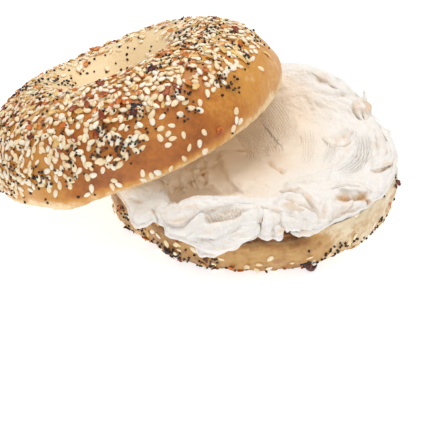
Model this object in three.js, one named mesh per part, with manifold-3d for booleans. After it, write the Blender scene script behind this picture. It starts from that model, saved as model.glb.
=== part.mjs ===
// A seeded bagel, sliced through its waist and spread with cream cheese, in millimetres with +Z up.
// The bottom half lies on its flat base with the cream cheese banked up on its cut face. The top half
// leans on it: its low edge stands on the table, and its cut face rests on the bank at the back.
// Sesame seeds and onion flakes are fused to the crust that they are baked on.
import * as THREE from "three";
import { mergeVertices } from "three/addons/utils/BufferGeometryUtils.js";
import { MeshSurfaceSampler } from "three/addons/math/MeshSurfaceSampler.js";
import Module from "manifold-3d";

const wasm = await Module();
wasm.setup();

// ---------- driving sizes ----------

const BOTTOM = {
  radius: 52.5, // at the widest level
  widest: 14.5, // height of that level above the table
  cut: 17, // height of the cut face
  foot: 44, // outer radius of the flat base
  footInner: 21, // inner radius of the flat base
  hole: 11, // radius of the hole at its narrowest
  rimInset: 0.9, // how far the cut edge stands in from the widest level
};

const TOP = {
  radius: 56,
  widest: 4, // height of the widest level above its own cut face
  crest: 28.5, // radius of the highest ring
  height: 27.9,
  hole: 7.5,
  rimInset: 1,
};

const LEAN = {
  tilt: 20.9, // degrees that the top half leans
  azimuth: 163.6, // the way its crest leans, anticlockwise from +X
  centre: [-42, 19.5, 19.9], // middle of its cut face, from the middle of the bottom half's base
};

const SPREAD = {
  floor: 3.6, // thickness in the bowl, over the cut face
  dip: 1.6, // how far the bowl sinks over the hole
  plug: 4, // how far the cream cheese reaches down into the hole
  edge: 51.5, // radius of its outline
  clearance: 0.35, // gap between two solids that touch
};

// Plan shift that puts the origin at the bottom centre of the whole bagel's box.
const PLAN_SHIFT = [22.4, -11.3];

const SEED = { length: 3.3, width: 2.1, thickness: 1.1 };
const FLAKE = { length: 5, width: 3.2, thickness: 1 };

const RING_STEPS = 60; // facets round each half
const SPREAD_STEPS = 60; // facets round the cream cheese

// ---------- small helpers ----------

const degrees = THREE.MathUtils.radToDeg;
const radians = THREE.MathUtils.degToRad;
const smooth = THREE.MathUtils.smoothstep;

// How far apart two azimuths are, in degrees.
function apart(azimuth, at) {
  return Math.abs(((azimuth - at + 540) % 360) - 180);
}

// A soft hump of height 1 round an azimuth.
function hump(azimuth, at, width) {
  return Math.exp(-((apart(azimuth, at) / width) ** 2));
}

// 1 between two azimuths, fading to 0 over the soft width outside them.
function stretch(azimuth, from, to, soft) {
  return 1 - smooth(apart(azimuth, (from + to) / 2), (to - from) / 2, (to - from) / 2 + soft);
}

// A repeatable stream of numbers from 0 to 1.
function seededRandom(seed) {
  let state = seed;
  return () => {
    state = (state + 0x6d2b79f5) | 0;
    let mixed = Math.imul(state ^ (state >>> 15), 1 | state);
    mixed = (mixed + Math.imul(mixed ^ (mixed >>> 7), 61 | mixed)) ^ mixed;
    return ((mixed ^ (mixed >>> 14)) >>> 0) / 4294967296;
  };
}

// A closed geometry as a manifold-3d solid.
function solidOf(geometry) {
  const bare = geometry.clone();
  bare.deleteAttribute("normal");
  bare.deleteAttribute("uv");
  const merged = mergeVertices(bare, 1e-3);
  const mesh = new wasm.Mesh({
    numProp: 3,
    vertProperties: new Float32Array(merged.attributes.position.array),
    triVerts: new Uint32Array(merged.index.array),
  });
  return new wasm.Manifold(mesh);
}

function geometryOf(solid) {
  const mesh = solid.getMesh();
  const geometry = new THREE.BufferGeometry();
  geometry.setAttribute("position", new THREE.BufferAttribute(mesh.vertProperties, 3));
  geometry.setIndex(new THREE.BufferAttribute(mesh.triVerts, 1));
  geometry.computeVertexNormals();
  return geometry;
}

// The largest body of a solid: a crumb that fusing or cutting has left loose is dropped.
function largestBody(solid) {
  return solid.decompose().sort((a, b) => b.volume() - a.volume())[0];
}

// Turns a profile of [radius, height] points round +Z, then lets warp move every vertex.
function turned(profile, steps, warp) {
  const points = profile.map(([radius, height]) => new THREE.Vector2(radius, height));
  if (points[0].x > 0) points.push(points[0].clone());
  const geometry = new THREE.LatheGeometry(points, steps);
  geometry.rotateX(Math.PI / 2);
  const position = geometry.attributes.position;
  const vertex = new THREE.Vector3();
  for (let i = 0; i < position.count; i++) {
    warp(vertex.fromBufferAttribute(position, i));
    position.setXYZ(i, vertex.x, vertex.y, vertex.z);
  }
  return geometry;
}

// Points of a rounded bulge between two angles. Squareness 2 is an ellipse, 1 a straight slope.
function bulge(centre, reach, from, to, steps, squareness) {
  const points = [];
  for (let i = 0; i <= steps; i++) {
    const angle = radians(from + ((to - from) * i) / steps);
    const across = Math.sign(Math.cos(angle)) * Math.abs(Math.cos(angle)) ** (2 / squareness);
    const up = Math.sign(Math.sin(angle)) * Math.abs(Math.sin(angle)) ** (2 / squareness);
    points.push([centre[0] + reach[0] * across, centre[1] + reach[1] * up]);
  }
  return points;
}

// ---------- the two crusts ----------

// A ring rolled by hand is never a true circle: soft lobes push it in and out.
function handRolled(vertex, lobes) {
  const angle = Math.atan2(vertex.y, vertex.x);
  const wander = Math.cos(2 * angle) + Math.cos(3 * angle + 0.9) + 0.7 * Math.cos(5 * angle - 0.4);
  const out = 1 + lobes * wander;
  vertex.x *= out;
  vertex.y *= out;
}

function bottomWarp(vertex) {
  handRolled(vertex, 0.004);
}

// The top half rose higher in front, and its low front edge sags in a small lip.
function topWarp(vertex) {
  handRolled(vertex, 0.005);
  const angle = Math.atan2(vertex.y, vertex.x);
  vertex.z *= 1 - 0.105 * Math.sin(angle) + 0.012 * Math.cos(3 * angle + 2);
  const radius = Math.hypot(vertex.x, vertex.y);
  const low = Math.exp(-(((vertex.z - 3) / 6) ** 2)) * smooth(radius, 40, 54);
  const sag = hump(degrees(angle), 247, 10) * low;
  const out = 1 + 0.035 * sag + 0.025 * hump(degrees(angle), 12, 22) * low;
  vertex.x *= out;
  vertex.y *= out;
  vertex.z -= 1.8 * sag;
}

function bottomProfile(grow = 0) {
  const { radius, widest, cut, foot, footInner, hole, rimInset } = BOTTOM;
  const face = cut + grow;
  const outer = bulge([foot, widest], [radius + grow - foot, widest + grow], -90, 0, 6, 2.3);
  const inner = bulge([footInner, widest], [footInner - hole + grow, widest + grow], 180, 270, 5, 2.3);
  return [
    ...outer,
    [radius + grow - rimInset, face],
    [radius * 0.6, face],
    [hole - grow + 0.8, face],
    ...inner,
  ];
}

function topProfile() {
  const { radius, widest, crest, height, hole, rimInset } = TOP;
  const outer = bulge([crest, widest], [radius - crest, height - widest], 0, 90, 9, 2.15);
  const inner = bulge([crest, widest], [crest - hole, height - widest], 90, 180, 6, 1.4);
  return [[hole + 0.6, 0], [radius * 0.55, 0], [radius - rimInset, 0], ...outer, ...inner.slice(1)];
}

// The matrix that leans a solid the way the top half leans.
function leanMatrix(lift) {
  const azimuth = radians(LEAN.azimuth);
  const axis = new THREE.Vector3(-Math.sin(azimuth), Math.cos(azimuth), 0);
  const turn = new THREE.Quaternion().setFromAxisAngle(axis, radians(LEAN.tilt));
  const place = new THREE.Vector3(...LEAN.centre);
  place.z += lift;
  return new THREE.Matrix4().compose(place, turn, new THREE.Vector3(1, 1, 1));
}

// ---------- the cream cheese ----------

// Height of the bank above the cut face: tallest at the back, with a long ridge in front.
function bankHeight(azimuth) {
  const mound = azimuth > 64 ? hump(azimuth, 64, 46) : hump(azimuth, 64, 34);
  return 4.6 + 12.2 * mound + 4.2 * stretch(azimuth, 205, 285, 24);
}

// Radius of the bank's crest: steep at the back, and in front the ridge runs in towards the middle.
function crestRadius(azimuth) {
  return 45.5 + 2.2 * hump(azimuth, 52, 26) - 5 * stretch(azimuth, 262, 284, 22);
}

// How far the cream cheese hangs below the cut face, over the crust.
function hang(azimuth) {
  return 2 * stretch(azimuth, 208, 262, 8) + 3.6 * hump(azimuth, 256, 6);
}

function edgeRadius(azimuth) {
  const overhang = 2.3 * stretch(azimuth, 208, 262, 8) + 0.9 * hump(azimuth, 256, 6);
  return SPREAD.edge + overhang - 1.8 * hump(azimuth, 285, 6) + 0.3 * Math.sin(radians(7 * azimuth));
}

// A rib of the given height and width along an arc.
function arcRib(x, y, centre, radius, from, to, height, width) {
  const azimuth = degrees(Math.atan2(y - centre[1], x - centre[0]));
  const fade = stretch(azimuth, from + (to - from) * 0.2, to - (to - from) * 0.2, (to - from) * 0.2);
  const off = Math.hypot(x - centre[0], y - centre[1]) - radius;
  return height * fade * Math.exp(-((off / width) ** 2));
}

// Height above the table of the cream cheese's upper surface.
function spreadTop(x, y) {
  const radius = Math.hypot(x, y);
  const azimuth = degrees(Math.atan2(y, x));
  const crest = crestRadius(azimuth);
  const bank = BOTTOM.cut + bankHeight(azimuth);
  const floor = BOTTOM.cut + SPREAD.floor - SPREAD.dip * Math.exp(-((radius / BOTTOM.hole) ** 2));
  const lip = BOTTOM.cut + 0.9 - 0.6 * hang(azimuth);
  const sweep = 13 + 0.5 * bankHeight(azimuth);
  const outward = Math.min(1, Math.max(0, (radius - crest) / (edgeRadius(azimuth) - crest)));
  let height = lip + (bank - lip) * Math.sqrt(1 - outward ** 2.4);
  if (radius < crest) height = floor + (bank - floor) * smooth(radius, crest - sweep, crest);
  // the front ridge and the crease below it
  height += arcRib(x, y, [-8, -6], 39, 232, 292, 1.6, 3);
  height -= arcRib(x, y, [-8, 0], 50.5, 236, 288, 2.6, 2);
  // the swirl at the right, where the knife turned, and the step at the left of the bowl
  height += arcRib(x, y, [22, -3], 16, 235, 440, 2.6, 3.4);
  height -= arcRib(x, y, [22, -3], 8, 200, 560, 0.8, 5);
  height += arcRib(x, y, [-42, -10], 30, -40, 30, 1.5, 3);
  return height;
}

// The cream cheese before it is fitted between the halves: two skins that meet at the outline.
function spreadBlank() {
  const under = [0, 0.25, 0.6, 0.95].map((share) => [SPREAD.edge * share, 0]);
  const over = [];
  const rings = 13;
  for (let i = rings; i >= 0; i--) over.push([SPREAD.edge * (1 - (1 - i / rings) ** 1.4), 1]);
  return turned([...under, ...over], SPREAD_STEPS, (vertex) => {
    const azimuth = degrees(Math.atan2(vertex.y, vertex.x));
    const share = Math.hypot(vertex.x, vertex.y) / SPREAD.edge;
    const fit = edgeRadius(azimuth) / SPREAD.edge;
    vertex.x *= fit;
    vertex.y *= fit;
    if (vertex.z > 0.5) vertex.z = spreadTop(vertex.x, vertex.y);
    else if (share > 0.9) vertex.z = BOTTOM.cut - hang(azimuth) - 0.4;
    else vertex.z = BOTTOM.cut - SPREAD.plug;
    bottomWarp(vertex);
  });
}

// ---------- seeds and flakes ----------

// Draws places on a surface that pass a test and keep their distance from each other.
function scatter(geometry, count, spacing, random, accepts) {
  const sampler = new MeshSurfaceSampler(new THREE.Mesh(geometry)).setRandomGenerator(random).build();
  const places = [];
  const point = new THREE.Vector3();
  const normal = new THREE.Vector3();
  for (let tries = 0; tries < count * 60 && places.length < count; tries++) {
    sampler.sample(point, normal);
    if (!accepts(point, normal)) continue;
    if (places.some((place) => place.point.distanceTo(point) < spacing)) continue;
    places.push({ point: point.clone(), normal: normal.clone(), turn: random() * Math.PI });
  }
  return places;
}

// One seed or flake that lies on the surface, sunk by a share of its thickness.
function grainAt(place, shape, size, sunk) {
  const grain = shape.clone();
  grain.scale(size.length / 2, size.width / 2, size.thickness / 2);
  grain.rotateZ(place.turn);
  grain.applyQuaternion(new THREE.Quaternion().setFromUnitVectors(new THREE.Vector3(0, 0, 1), place.normal));
  const lift = size.thickness * (0.5 - sunk);
  grain.translate(...place.point.clone().addScaledVector(place.normal, lift).toArray());
  return solidOf(grain);
}

// The crust with its seeds and flakes fused on.
function seeded(crust, flakes, seeds, random, accepts) {
  const flakeShape = new THREE.CylinderGeometry(0.9, 1.1, 1.7, 5).rotateX(Math.PI / 2);
  const seedShape = new THREE.SphereGeometry(1, 6, 2).rotateX(Math.PI / 2);
  const flakePlaces = scatter(crust, flakes, 11, random, accepts);
  const clearOfFlakes = (point, normal) =>
    accepts(point, normal) && flakePlaces.every((place) => place.point.distanceTo(point) > 4.4);
  const seedPlaces = scatter(crust, seeds, 4.1, random, clearOfFlakes);
  const grains = [
    ...flakePlaces.map((place) => grainAt(place, flakeShape, FLAKE, 0.4)),
    ...seedPlaces.map((place) => grainAt(place, seedShape, SEED, 0.35)),
  ];
  return largestBody(wasm.Manifold.union([solidOf(crust), ...grains]));
}

// ---------- assembly ----------

const bottomCrust = turned(bottomProfile(), RING_STEPS, bottomWarp);
const topCrust = turned(topProfile(), RING_STEPS, topWarp);

// The top half is let down until its low edge meets the table.
const leaning = new THREE.Box3().setFromBufferAttribute(
  topCrust.clone().applyMatrix4(leanMatrix(0)).attributes.position,
);
const topPlace = leanMatrix(-leaning.min.z);

// On the bottom half, seeds sit on the outer wall, off the base and below the cream cheese.
function onBottomWall(point, normal) {
  return Math.hypot(point.x, point.y) > 40 && point.z > 2.6 && point.z < 9.5 && normal.z < 0.3;
}

const bottomHalf = seeded(bottomCrust, 7, 34, seededRandom(41), onBottomWall);

// On the top half they cover the crest and the left flank, and leave the right flank almost bare.
const topRandom = seededRandom(7);

function seasoned(point) {
  const radius = Math.hypot(point.x, point.y);
  const azimuth = degrees(Math.atan2(point.y, point.x));
  const onCrest = smooth(point.z, 13, 21) * smooth(radius, 17, 24);
  const leftFlank = 0.75 * hump(azimuth, 195, 62) * smooth(point.z, 2, 8) * smooth(radius, 24, 32);
  const stray = 0.1 * smooth(radius, 30, 40);
  return topRandom() < Math.max(onCrest, leftFlank, stray);
}

function clearOfRest(point) {
  const place = point.clone().applyMatrix4(topPlace);
  const overBottom = Math.hypot(place.x, place.y) < BOTTOM.radius + 3;
  const bed = overBottom ? Math.max(BOTTOM.cut, spreadTop(place.x, place.y)) + 2.2 : 0;
  return place.z > bed + 2;
}

function onTopCrust(point) {
  return point.z > 1.6 && clearOfRest(point) && seasoned(point);
}

const topHalf = seeded(topCrust, 26, 118, topRandom, onTopCrust);

// The cream cheese fills down to the bottom half and up to the top half, short of both by the clearance.
const press = new THREE.CylinderGeometry(TOP.radius + 1.8, TOP.radius + 1.8, 40, 96)
  .rotateX(Math.PI / 2)
  .translate(0, 0, 20 - SPREAD.clearance)
  .applyMatrix4(topPlace);
const creamCheese = largestBody(
  solidOf(spreadBlank())
    .subtract(solidOf(turned(bottomProfile(SPREAD.clearance), RING_STEPS, bottomWarp)))
    .subtract(solidOf(press)),
);

function named(name, solid, color, roughness) {
  const material = new THREE.MeshStandardMaterial({ color, roughness, metalness: 0 });
  const mesh = new THREE.Mesh(geometryOf(solid), material);
  mesh.name = name;
  return mesh;
}

const bagel = new THREE.Group();
bagel.name = "bagel";
bagel.add(named("bottom_half", bottomHalf, 0xdcb27a, 0.6));
bagel.add(named("cream_cheese", creamCheese, 0xf6ece2, 0.45));
const topMesh = named("top_half", topHalf, 0xd79a52, 0.5);
topMesh.applyMatrix4(topPlace);
bagel.add(topMesh);
bagel.position.set(PLAN_SHIFT[0], PLAN_SHIFT[1], 0);

export default bagel;
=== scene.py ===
# %% [markdown]
# A seeded bagel, cut in two and spread with cream cheese
#
# The packed model gives the frame: where each half lies, how far it leans and how big it is.
# Everything below is modelled in millimetres round the middle of the bottom half's base, and is
# brought into the frame at the end of each piece. A crust is turned from its section, the cream
# cheese is worked like clay with a knife, and the seeds are small meshes scattered by rules.

# %% Load the frame
import math

import bmesh
import bpy
import numpy as np
from mathutils import Matrix, Vector, noise
from mathutils.bvhtree import BVHTree


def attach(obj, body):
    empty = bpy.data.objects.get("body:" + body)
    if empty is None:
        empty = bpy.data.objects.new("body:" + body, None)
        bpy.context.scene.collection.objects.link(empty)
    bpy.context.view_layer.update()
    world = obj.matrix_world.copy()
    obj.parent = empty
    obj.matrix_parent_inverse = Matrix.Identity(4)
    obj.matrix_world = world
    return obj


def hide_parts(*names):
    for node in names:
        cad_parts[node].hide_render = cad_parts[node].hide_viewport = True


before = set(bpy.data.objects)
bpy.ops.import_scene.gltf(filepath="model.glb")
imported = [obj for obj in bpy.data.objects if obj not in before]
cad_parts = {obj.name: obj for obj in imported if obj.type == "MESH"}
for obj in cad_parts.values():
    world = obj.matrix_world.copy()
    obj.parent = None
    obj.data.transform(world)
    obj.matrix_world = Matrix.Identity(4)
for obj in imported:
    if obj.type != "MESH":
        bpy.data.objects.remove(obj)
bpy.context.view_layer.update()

# %% [markdown]
# Real sizes
#
# A large bakery bagel is 105 to 112 mm across. The bottom half keeps its flat base, and the top
# half leans on it. These are the sizes of the packed solids, so the fine pieces lie where they do.

# %% Driving sizes, in millimetres and degrees
MM = 0.001
BASE = Vector((22.4, -11.3, 0))  # middle of the bottom half's base in the frame
BOTTOM = {
    "radius": 52.5, "widest": 14.5, "cut": 17, "foot": 44, "foot_inner": 21, "hole": 11,
    "squareness": 2.3,
}
TOP = {
    "radius": 56, "widest": 4, "crest": 28.5, "height": 27.9, "hole": 7.5,
    "squareness": 2.15, "hole_squareness": 1.4,
}
LEAN = {"tilt": 20.9, "azimuth": 163.6, "centre": Vector((-42, 19.5, 19.9))}
SPREAD = {"floor": 3.6, "dip": 1.6, "plug": 4, "edge": 51.5, "gap": 0.35}
print("halves", 2 * BOTTOM["radius"], "and", 2 * TOP["radius"], "mm across, tilt", LEAN["tilt"], "degrees")

# %% [markdown]
# Soft steps and humps
#
# Most forms below are described round a circle: more here, less there. A few helpers say that in
# plain terms. Azimuths are degrees anticlockwise from +X, and every helper takes whole arrays.

# %% Helpers for shapes round a circle
def smooth(value, low, high):
    share = np.clip((value - low) / (high - low), 0, 1)
    return share * share * (3 - 2 * share)


def apart(azimuth, at):
    return np.abs((azimuth - at + 540) % 360 - 180)


def hump(azimuth, at, width):
    return np.exp(-((apart(azimuth, at) / width) ** 2))


def stretch(azimuth, start, end, soft):
    half = (end - start) / 2
    return 1 - smooth(apart(azimuth, (start + end) / 2), half, half + soft)


def azimuth_of(x, y):
    return np.degrees(np.arctan2(y, x))


def turn_of(points):
    return azimuth_of(points[:, 0], points[:, 1]) % 360


def radius_of(points):
    return np.hypot(points[:, 0], points[:, 1])


def bumps(points, size, shift=0.0, octaves=1):
    """Soft noise from about -1 to 1, with bumps of that size in millimetres."""
    spots = np.asarray(points, float) / size + shift
    if octaves == 1:
        return np.array([noise.noise(Vector(spot)) for spot in spots])
    return np.array([noise.fractal(Vector(spot), 1.0, 2.1, octaves) for spot in spots])


def cells(points, size, shift=0.0):
    """How far each point is from the nearest bubble centre, in bubble sizes."""
    spots = np.asarray(points, float) / size + shift
    return np.array([noise.voronoi(Vector(spot))[0][0] for spot in spots])


print("halfway up a soft step:", smooth(np.array([0.5]), 0, 1))

# %% [markdown]
# The camera
#
# It stands in front, 52 cm away, and looks down at 32 degrees with a long lens. The bagel's middle
# is a little right of and above the picture's centre, so the camera aims left of it and below.

# %% Make the camera
PICTURE = 424  # pixels
VIEW = {"elevation": 32, "distance": 520, "focal": 1407.2, "middle": (251.8, 199.2)}


def look_axes():
    slope = math.radians(VIEW["elevation"])
    right = Vector((1, 0, 0))
    up = Vector((0, math.sin(slope), math.cos(slope)))
    eye = BASE + right.cross(up) * VIEW["distance"]
    per_pixel = VIEW["distance"] / VIEW["focal"]
    aside = (VIEW["middle"][0] - PICTURE / 2) * per_pixel
    above = (PICTURE / 2 - VIEW["middle"][1]) * per_pixel
    back = (eye - (BASE - right * aside - up * above)).normalized()
    right = up.cross(back).normalized()
    return eye, Matrix((right, back.cross(right), back)).transposed()


eye, turn = look_axes()
camera = bpy.data.objects.new("camera", bpy.data.cameras.new("camera"))
bpy.context.scene.collection.objects.link(camera)
camera.data.sensor_width = 36
camera.data.lens = 36 * VIEW["focal"] / PICTURE
camera.data.clip_start = 0.01
camera.matrix_world = Matrix.Translation(eye * MM) @ turn.to_4x4()
bpy.context.scene.camera = camera
print("lens %.1f mm, camera at" % camera.data.lens, [round(c, 3) for c in eye * MM])

# %% [markdown]
# Floor and light
#
# The bagel lies on a plain pale floor. One soft box hangs nearly overhead, a little behind and to
# the left, so the top half shades the cream cheese under it. A wide box in front and a white room
# fill the shadows.

# %% Make the floor and the lights
LIGHTS = {  # size in metres, power in watts, place in metres and colour
    "overhead_box": (0.72, 5.8, (0.02, 0.2, 0.95), (0.94, 0.975, 1)),
    "front_box": (0.9, 2.6, (0.35, -1.1, 0.7), (1, 0.94, 0.87)),
}
ROOM = {"Color": (1, 0.935, 0.87, 1), "Strength": 0.51}
FLOOR_HALF = 3  # metres


def flat_stage():
    bm = bmesh.new()
    bmesh.ops.create_grid(bm, x_segments=1, y_segments=1, size=FLOOR_HALF)
    mesh = bpy.data.meshes.new("floor")
    bm.to_mesh(mesh)
    bm.free()
    floor = bpy.data.objects.new("floor", mesh)
    bpy.context.scene.collection.objects.link(floor)
    return floor


def soft_box(name, size, power, place, colour):
    light = bpy.data.lights.new(name, "AREA")
    light.size = size
    light.energy = power
    light.color = colour
    box = bpy.data.objects.new(name, light)
    bpy.context.scene.collection.objects.link(box)
    aim = BASE * MM - Vector(place)
    box.matrix_world = Matrix.Translation(place) @ aim.to_track_quat("-Z", "Y").to_matrix().to_4x4()


floor = flat_stage()
for name, settings in LIGHTS.items():
    soft_box(name, *settings)
world = bpy.data.worlds.new("white_room")
world.use_nodes = True
for socket, setting in ROOM.items():
    world.node_tree.nodes["Background"].inputs[socket].default_value = setting
bpy.context.scene.world = world
bpy.context.scene.view_settings.view_transform = "Standard"
print("lights", list(LIGHTS))

# %% [markdown]
# Turning a section
#
# Each half is a ring, so it starts as its cut section: a closed line of points, spun round +Z. One
# sector is spun and then doubled until the ring is full, which is much quicker than one long spin.
# A torus could be pulled into shape too, but a section keeps the real sizes of the foot, the cut
# face and the hole.

# %% Turn a section into a ring
def bulge(centre, reach, start, end, steps, squareness):
    """Points of a rounded corner. Squareness 2 is an ellipse, and more is boxier."""
    angle = np.radians(np.linspace(start, end, steps + 1))
    across = np.sign(np.cos(angle)) * np.abs(np.cos(angle)) ** (2 / squareness)
    up = np.sign(np.sin(angle)) * np.abs(np.sin(angle)) ** (2 / squareness)
    return np.stack([centre[0] + reach[0] * across, centre[1] + reach[1] * up], 1)


def evenly(line, pitch):
    """The same line with points a pitch apart, without its last point."""
    line = np.asarray(line, float)
    run = np.concatenate([[0], np.cumsum(np.hypot(*np.diff(line, axis=0).T))])
    stops = np.linspace(0, run[-1], max(2, round(run[-1] / pitch)), endpoint=False)
    return np.stack([np.interp(stops, run, line[:, 0]), np.interp(stops, run, line[:, 1])], 1)


def by_corners(face, count):
    """A sort key. A spin makes its faces in any order, so without a sort each run would differ."""
    first, second, third = sorted(vert.index for vert in face.verts)[:3]
    return (first * count + second) * count + third


def turned(name, section, closed, sector_steps=28, doublings=4):
    bm = bmesh.new()
    line = [bm.verts.new((radius, 0, height)) for radius, height in section]
    pairs = list(zip(line, line[1:] + line[:1])) if closed else list(zip(line, line[1:]))
    edges = [bm.edges.new(pair) for pair in pairs]
    sector = math.tau / 2**doublings
    around = {"cent": (0, 0, 0), "axis": (0, 0, 1)}
    bmesh.ops.spin(bm, geom=line + edges, angle=sector, steps=sector_steps, **around)
    for _ in range(doublings):
        copy = bmesh.ops.duplicate(bm, geom=bm.verts[:] + bm.edges[:] + bm.faces[:])
        moved = [part for part in copy["geom"] if isinstance(part, bmesh.types.BMVert)]
        bmesh.ops.rotate(bm, verts=moved, cent=(0, 0, 0), matrix=Matrix.Rotation(sector, 3, "Z"))
        sector *= 2
    bmesh.ops.remove_doubles(bm, verts=bm.verts, dist=1e-4)
    bmesh.ops.recalc_face_normals(bm, faces=bm.faces)
    bm.verts.index_update()
    bm.faces.sort(key=lambda face: by_corners(face, len(bm.verts)))
    mesh = bpy.data.meshes.new(name)
    bm.to_mesh(mesh)
    open_edges = sum(not edge.is_manifold for edge in bm.edges)
    print(name, len(bm.verts), "points,", len(bm.faces), "faces,", open_edges, "open edges")
    bm.free()
    return mesh


def read(items, name, width, kind=np.float32):
    """One property of every point, edge or face, as rows of that width."""
    values = np.empty(len(items) * width, kind)
    items.foreach_get(name, values)
    return values.reshape(-1, width) if width > 1 else values


def points_of(mesh):
    return read(mesh.vertices, "co", 3).astype(float)


def move_points(mesh, points):
    mesh.vertices.foreach_set("co", np.asarray(points, np.float32).ravel())
    mesh.update()


def faces_of(mesh):
    """Centre, normal and area of every face."""
    kinds = (("center", 3), ("normal", 3), ("area", 1))
    return [read(mesh.polygons, name, width).astype(float) for name, width in kinds]


def normals_of(mesh):
    """Normals of the points. Blender sums its own in any order, so their last digit varies."""
    _, normal, area = faces_of(mesh)
    corners = read(mesh.loops, "vertex_index", 1, np.int32)
    sides = read(mesh.polygons, "loop_total", 1, np.int32)
    pull = np.repeat(normal * area[:, None], sides, axis=0)
    total = np.stack([np.bincount(corners, pull[:, axis], len(mesh.vertices)) for axis in range(3)], 1)
    return total / np.linalg.norm(total, axis=1)[:, None]


def mark(mesh, name, values):
    """Keeps one number for each point, which a finish can read."""
    attribute = mesh.attributes.new(name, "FLOAT", "POINT")
    attribute.data.foreach_set("value", np.asarray(values, np.float32))


def hollows(mesh, rounds):
    """How far each point lies below the average of its surroundings, in millimetres."""
    points = points_of(mesh)
    ends = read(mesh.edges, "vertices", 2, np.int32)
    first, second = ends.T
    count = np.bincount(ends.ravel(), minlength=len(points))

    def averaged(values):
        total = np.bincount(first, values[second], len(points))
        total += np.bincount(second, values[first], len(points))
        return 0.5 * values + 0.5 * total / count

    calm = [points[:, axis] for axis in range(3)]
    for _ in range(rounds):
        calm = [averaged(values) for values in calm]
    below = ((np.stack(calm, 1) - points) * normals_of(mesh)).sum(1)
    for _ in range(3):
        below = averaged(below)
    return below


def hand_rolled(points, lobes):
    """A ring rolled by hand is never a true circle."""
    angle = np.arctan2(points[:, 1], points[:, 0])
    out = 1 + lobes * (np.cos(2 * angle) + np.cos(3 * angle + 0.9) + 0.7 * np.cos(5 * angle - 0.4))
    return points * np.stack([out, out, np.ones(len(out))], 1)


# %% [markdown]
# The crumb and the crust
#
# A cut face shows the crumb: bubbles of every size, opened by the knife. They are pressed in where
# the nearest bubble centre is close. The crust round it is tight and only wanders, with wrinkles
# near the cut and a few blisters. A bump texture could show all this as well, but relief in the
# mesh also shows at the outline and catches the shadows of the seeds.

# %% Relief of crumb and crust
def crumb_pits(points):
    """Depth of the opened bubbles in millimetres."""
    sparse = smooth(bumps(points, 9, 3.3), -0.25, 0.35)
    large = 0.9 * sparse * (1 - smooth(cells(points, 4.6, 1.7), 0.18, 0.42))
    middle = 0.55 * (1 - smooth(cells(points, 2.3, 5.1), 0.2, 0.5))
    small = 0.22 * (1 - smooth(cells(points, 1.3, 8.4), 0.2, 0.55))
    return np.maximum(np.maximum(large, middle), small)


def crust_wander(points, wrinkled):
    """How far the crust stands out, in millimetres. Wrinkled is 1 near the cut."""
    wide = 0.4 * bumps(points, 15, 2.2) + 0.2 * bumps(points, 5, 6.6)
    upright = points * np.array([1, 1, 0.35])
    folds = 0.24 * bumps(upright, 2.6, 4.1) * wrinkled
    return wide + folds + 0.09 * bumps(points, 2.1, 7.9) + 0.05 * bumps(points, 1.3, 8.9)


def add_blisters(points, out, rng, spots, size, height):
    for spot in rng.choice(len(points), spots, replace=False):
        reach = size * rng.uniform(0.6, 1.3)
        near = np.linalg.norm(points - points[spot], axis=1) / reach
        out += height * rng.uniform(0.5, 1.2) * np.sqrt(np.clip(1 - near**2, 0, 1))


print("a bubble at the origin is %.2f mm deep" % crumb_pits(np.zeros((1, 3)))[0])


# %% [markdown]
# The two halves
#
# Both halves are sections turned into rings, then made a little uneven, as a hand-rolled ring is.
# The bottom half stands on a flat foot with a low wall. The top half rose into a dome over its
# crest and leans on the spread. Sculpting would take as long again for each change of a size.

# %% Model the bottom half
ROLLED_BY = 0.004  # how far from a true circle, as a share of the radius
PULLED_IN = {"share": 0.055, "azimuth": 221, "width": 12}  # the base is narrower under the left fold
TORN = {"from": 265.5, "to": 289, "depth": 1.5}  # the crust that came off with the knife


def bottom_section():
    """Base, outer wall, cut face and hole, as one closed line."""
    b = BOTTOM
    rim = b["radius"] - 0.9
    boxy = b["squareness"]
    outer = bulge((b["foot"], b["widest"]), (b["radius"] - b["foot"], b["widest"]), -90, 0, 40, boxy)
    to_hole = b["foot_inner"] - b["hole"]
    inner = bulge((b["foot_inner"], b["widest"]), (to_hole, b["widest"]), 180, 270, 30, boxy)
    wall = evenly(np.concatenate([outer, [(rim, b["cut"])]]), 0.45)
    face = evenly([(rim, b["cut"]), (b["hole"] + 0.8, b["cut"])], 0.72)
    tunnel = evenly(np.concatenate([[(b["hole"] + 0.8, b["cut"])], inner]), 0.9)
    foot = evenly([(b["foot_inner"], 0), (b["foot"], 0)], 1.1)
    return np.concatenate([wall, face, tunnel, foot])


bottom = turned("bottom_half_crust", bottom_section(), closed=True)
spots = hand_rolled(points_of(bottom), ROLLED_BY)
pulled_in = PULLED_IN["share"] * hump(turn_of(spots), PULLED_IN["azimuth"], PULLED_IN["width"])
pulled_in *= 1 - smooth(spots[:, 2], 8, 16.5)
pulled_in *= smooth(radius_of(spots), 25, 44)
spots[:, :2] *= (1 - pulled_in)[:, None]
move_points(bottom, spots)
radius = radius_of(spots)
face_up = smooth(spots[:, 2], BOTTOM["cut"] - 0.3, BOTTOM["cut"] - 0.05)
face_up *= smooth(radius, BOTTOM["hole"], BOTTOM["hole"] + 1) * (1 - smooth(radius, 50.9, 51.5))
bottom_pits = crumb_pits(spots) * face_up
base_down = 1 - smooth(spots[:, 2], 0.02, 1.2)
out = crust_wander(spots, smooth(spots[:, 2], 8, 16)) * (1 - face_up) * (1 - base_down)
lumpy = 0.75 * bumps(spots, 7, 13.0) + 0.9 * (0.3 - np.abs(bumps(spots * np.array([1, 1, 1.8]), 4.6, 15.0)))
out += lumpy * (1 - face_up) * (1 - base_down) * smooth(radius, 40, 46)
rng = np.random.default_rng(11)
add_blisters(spots, out, rng, 26, 1.1, 0.3)
out *= (1 - face_up) * (1 - base_down)
torn = stretch(turn_of(spots), TORN["from"], TORN["to"], 4) * (radius > 50)
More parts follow.
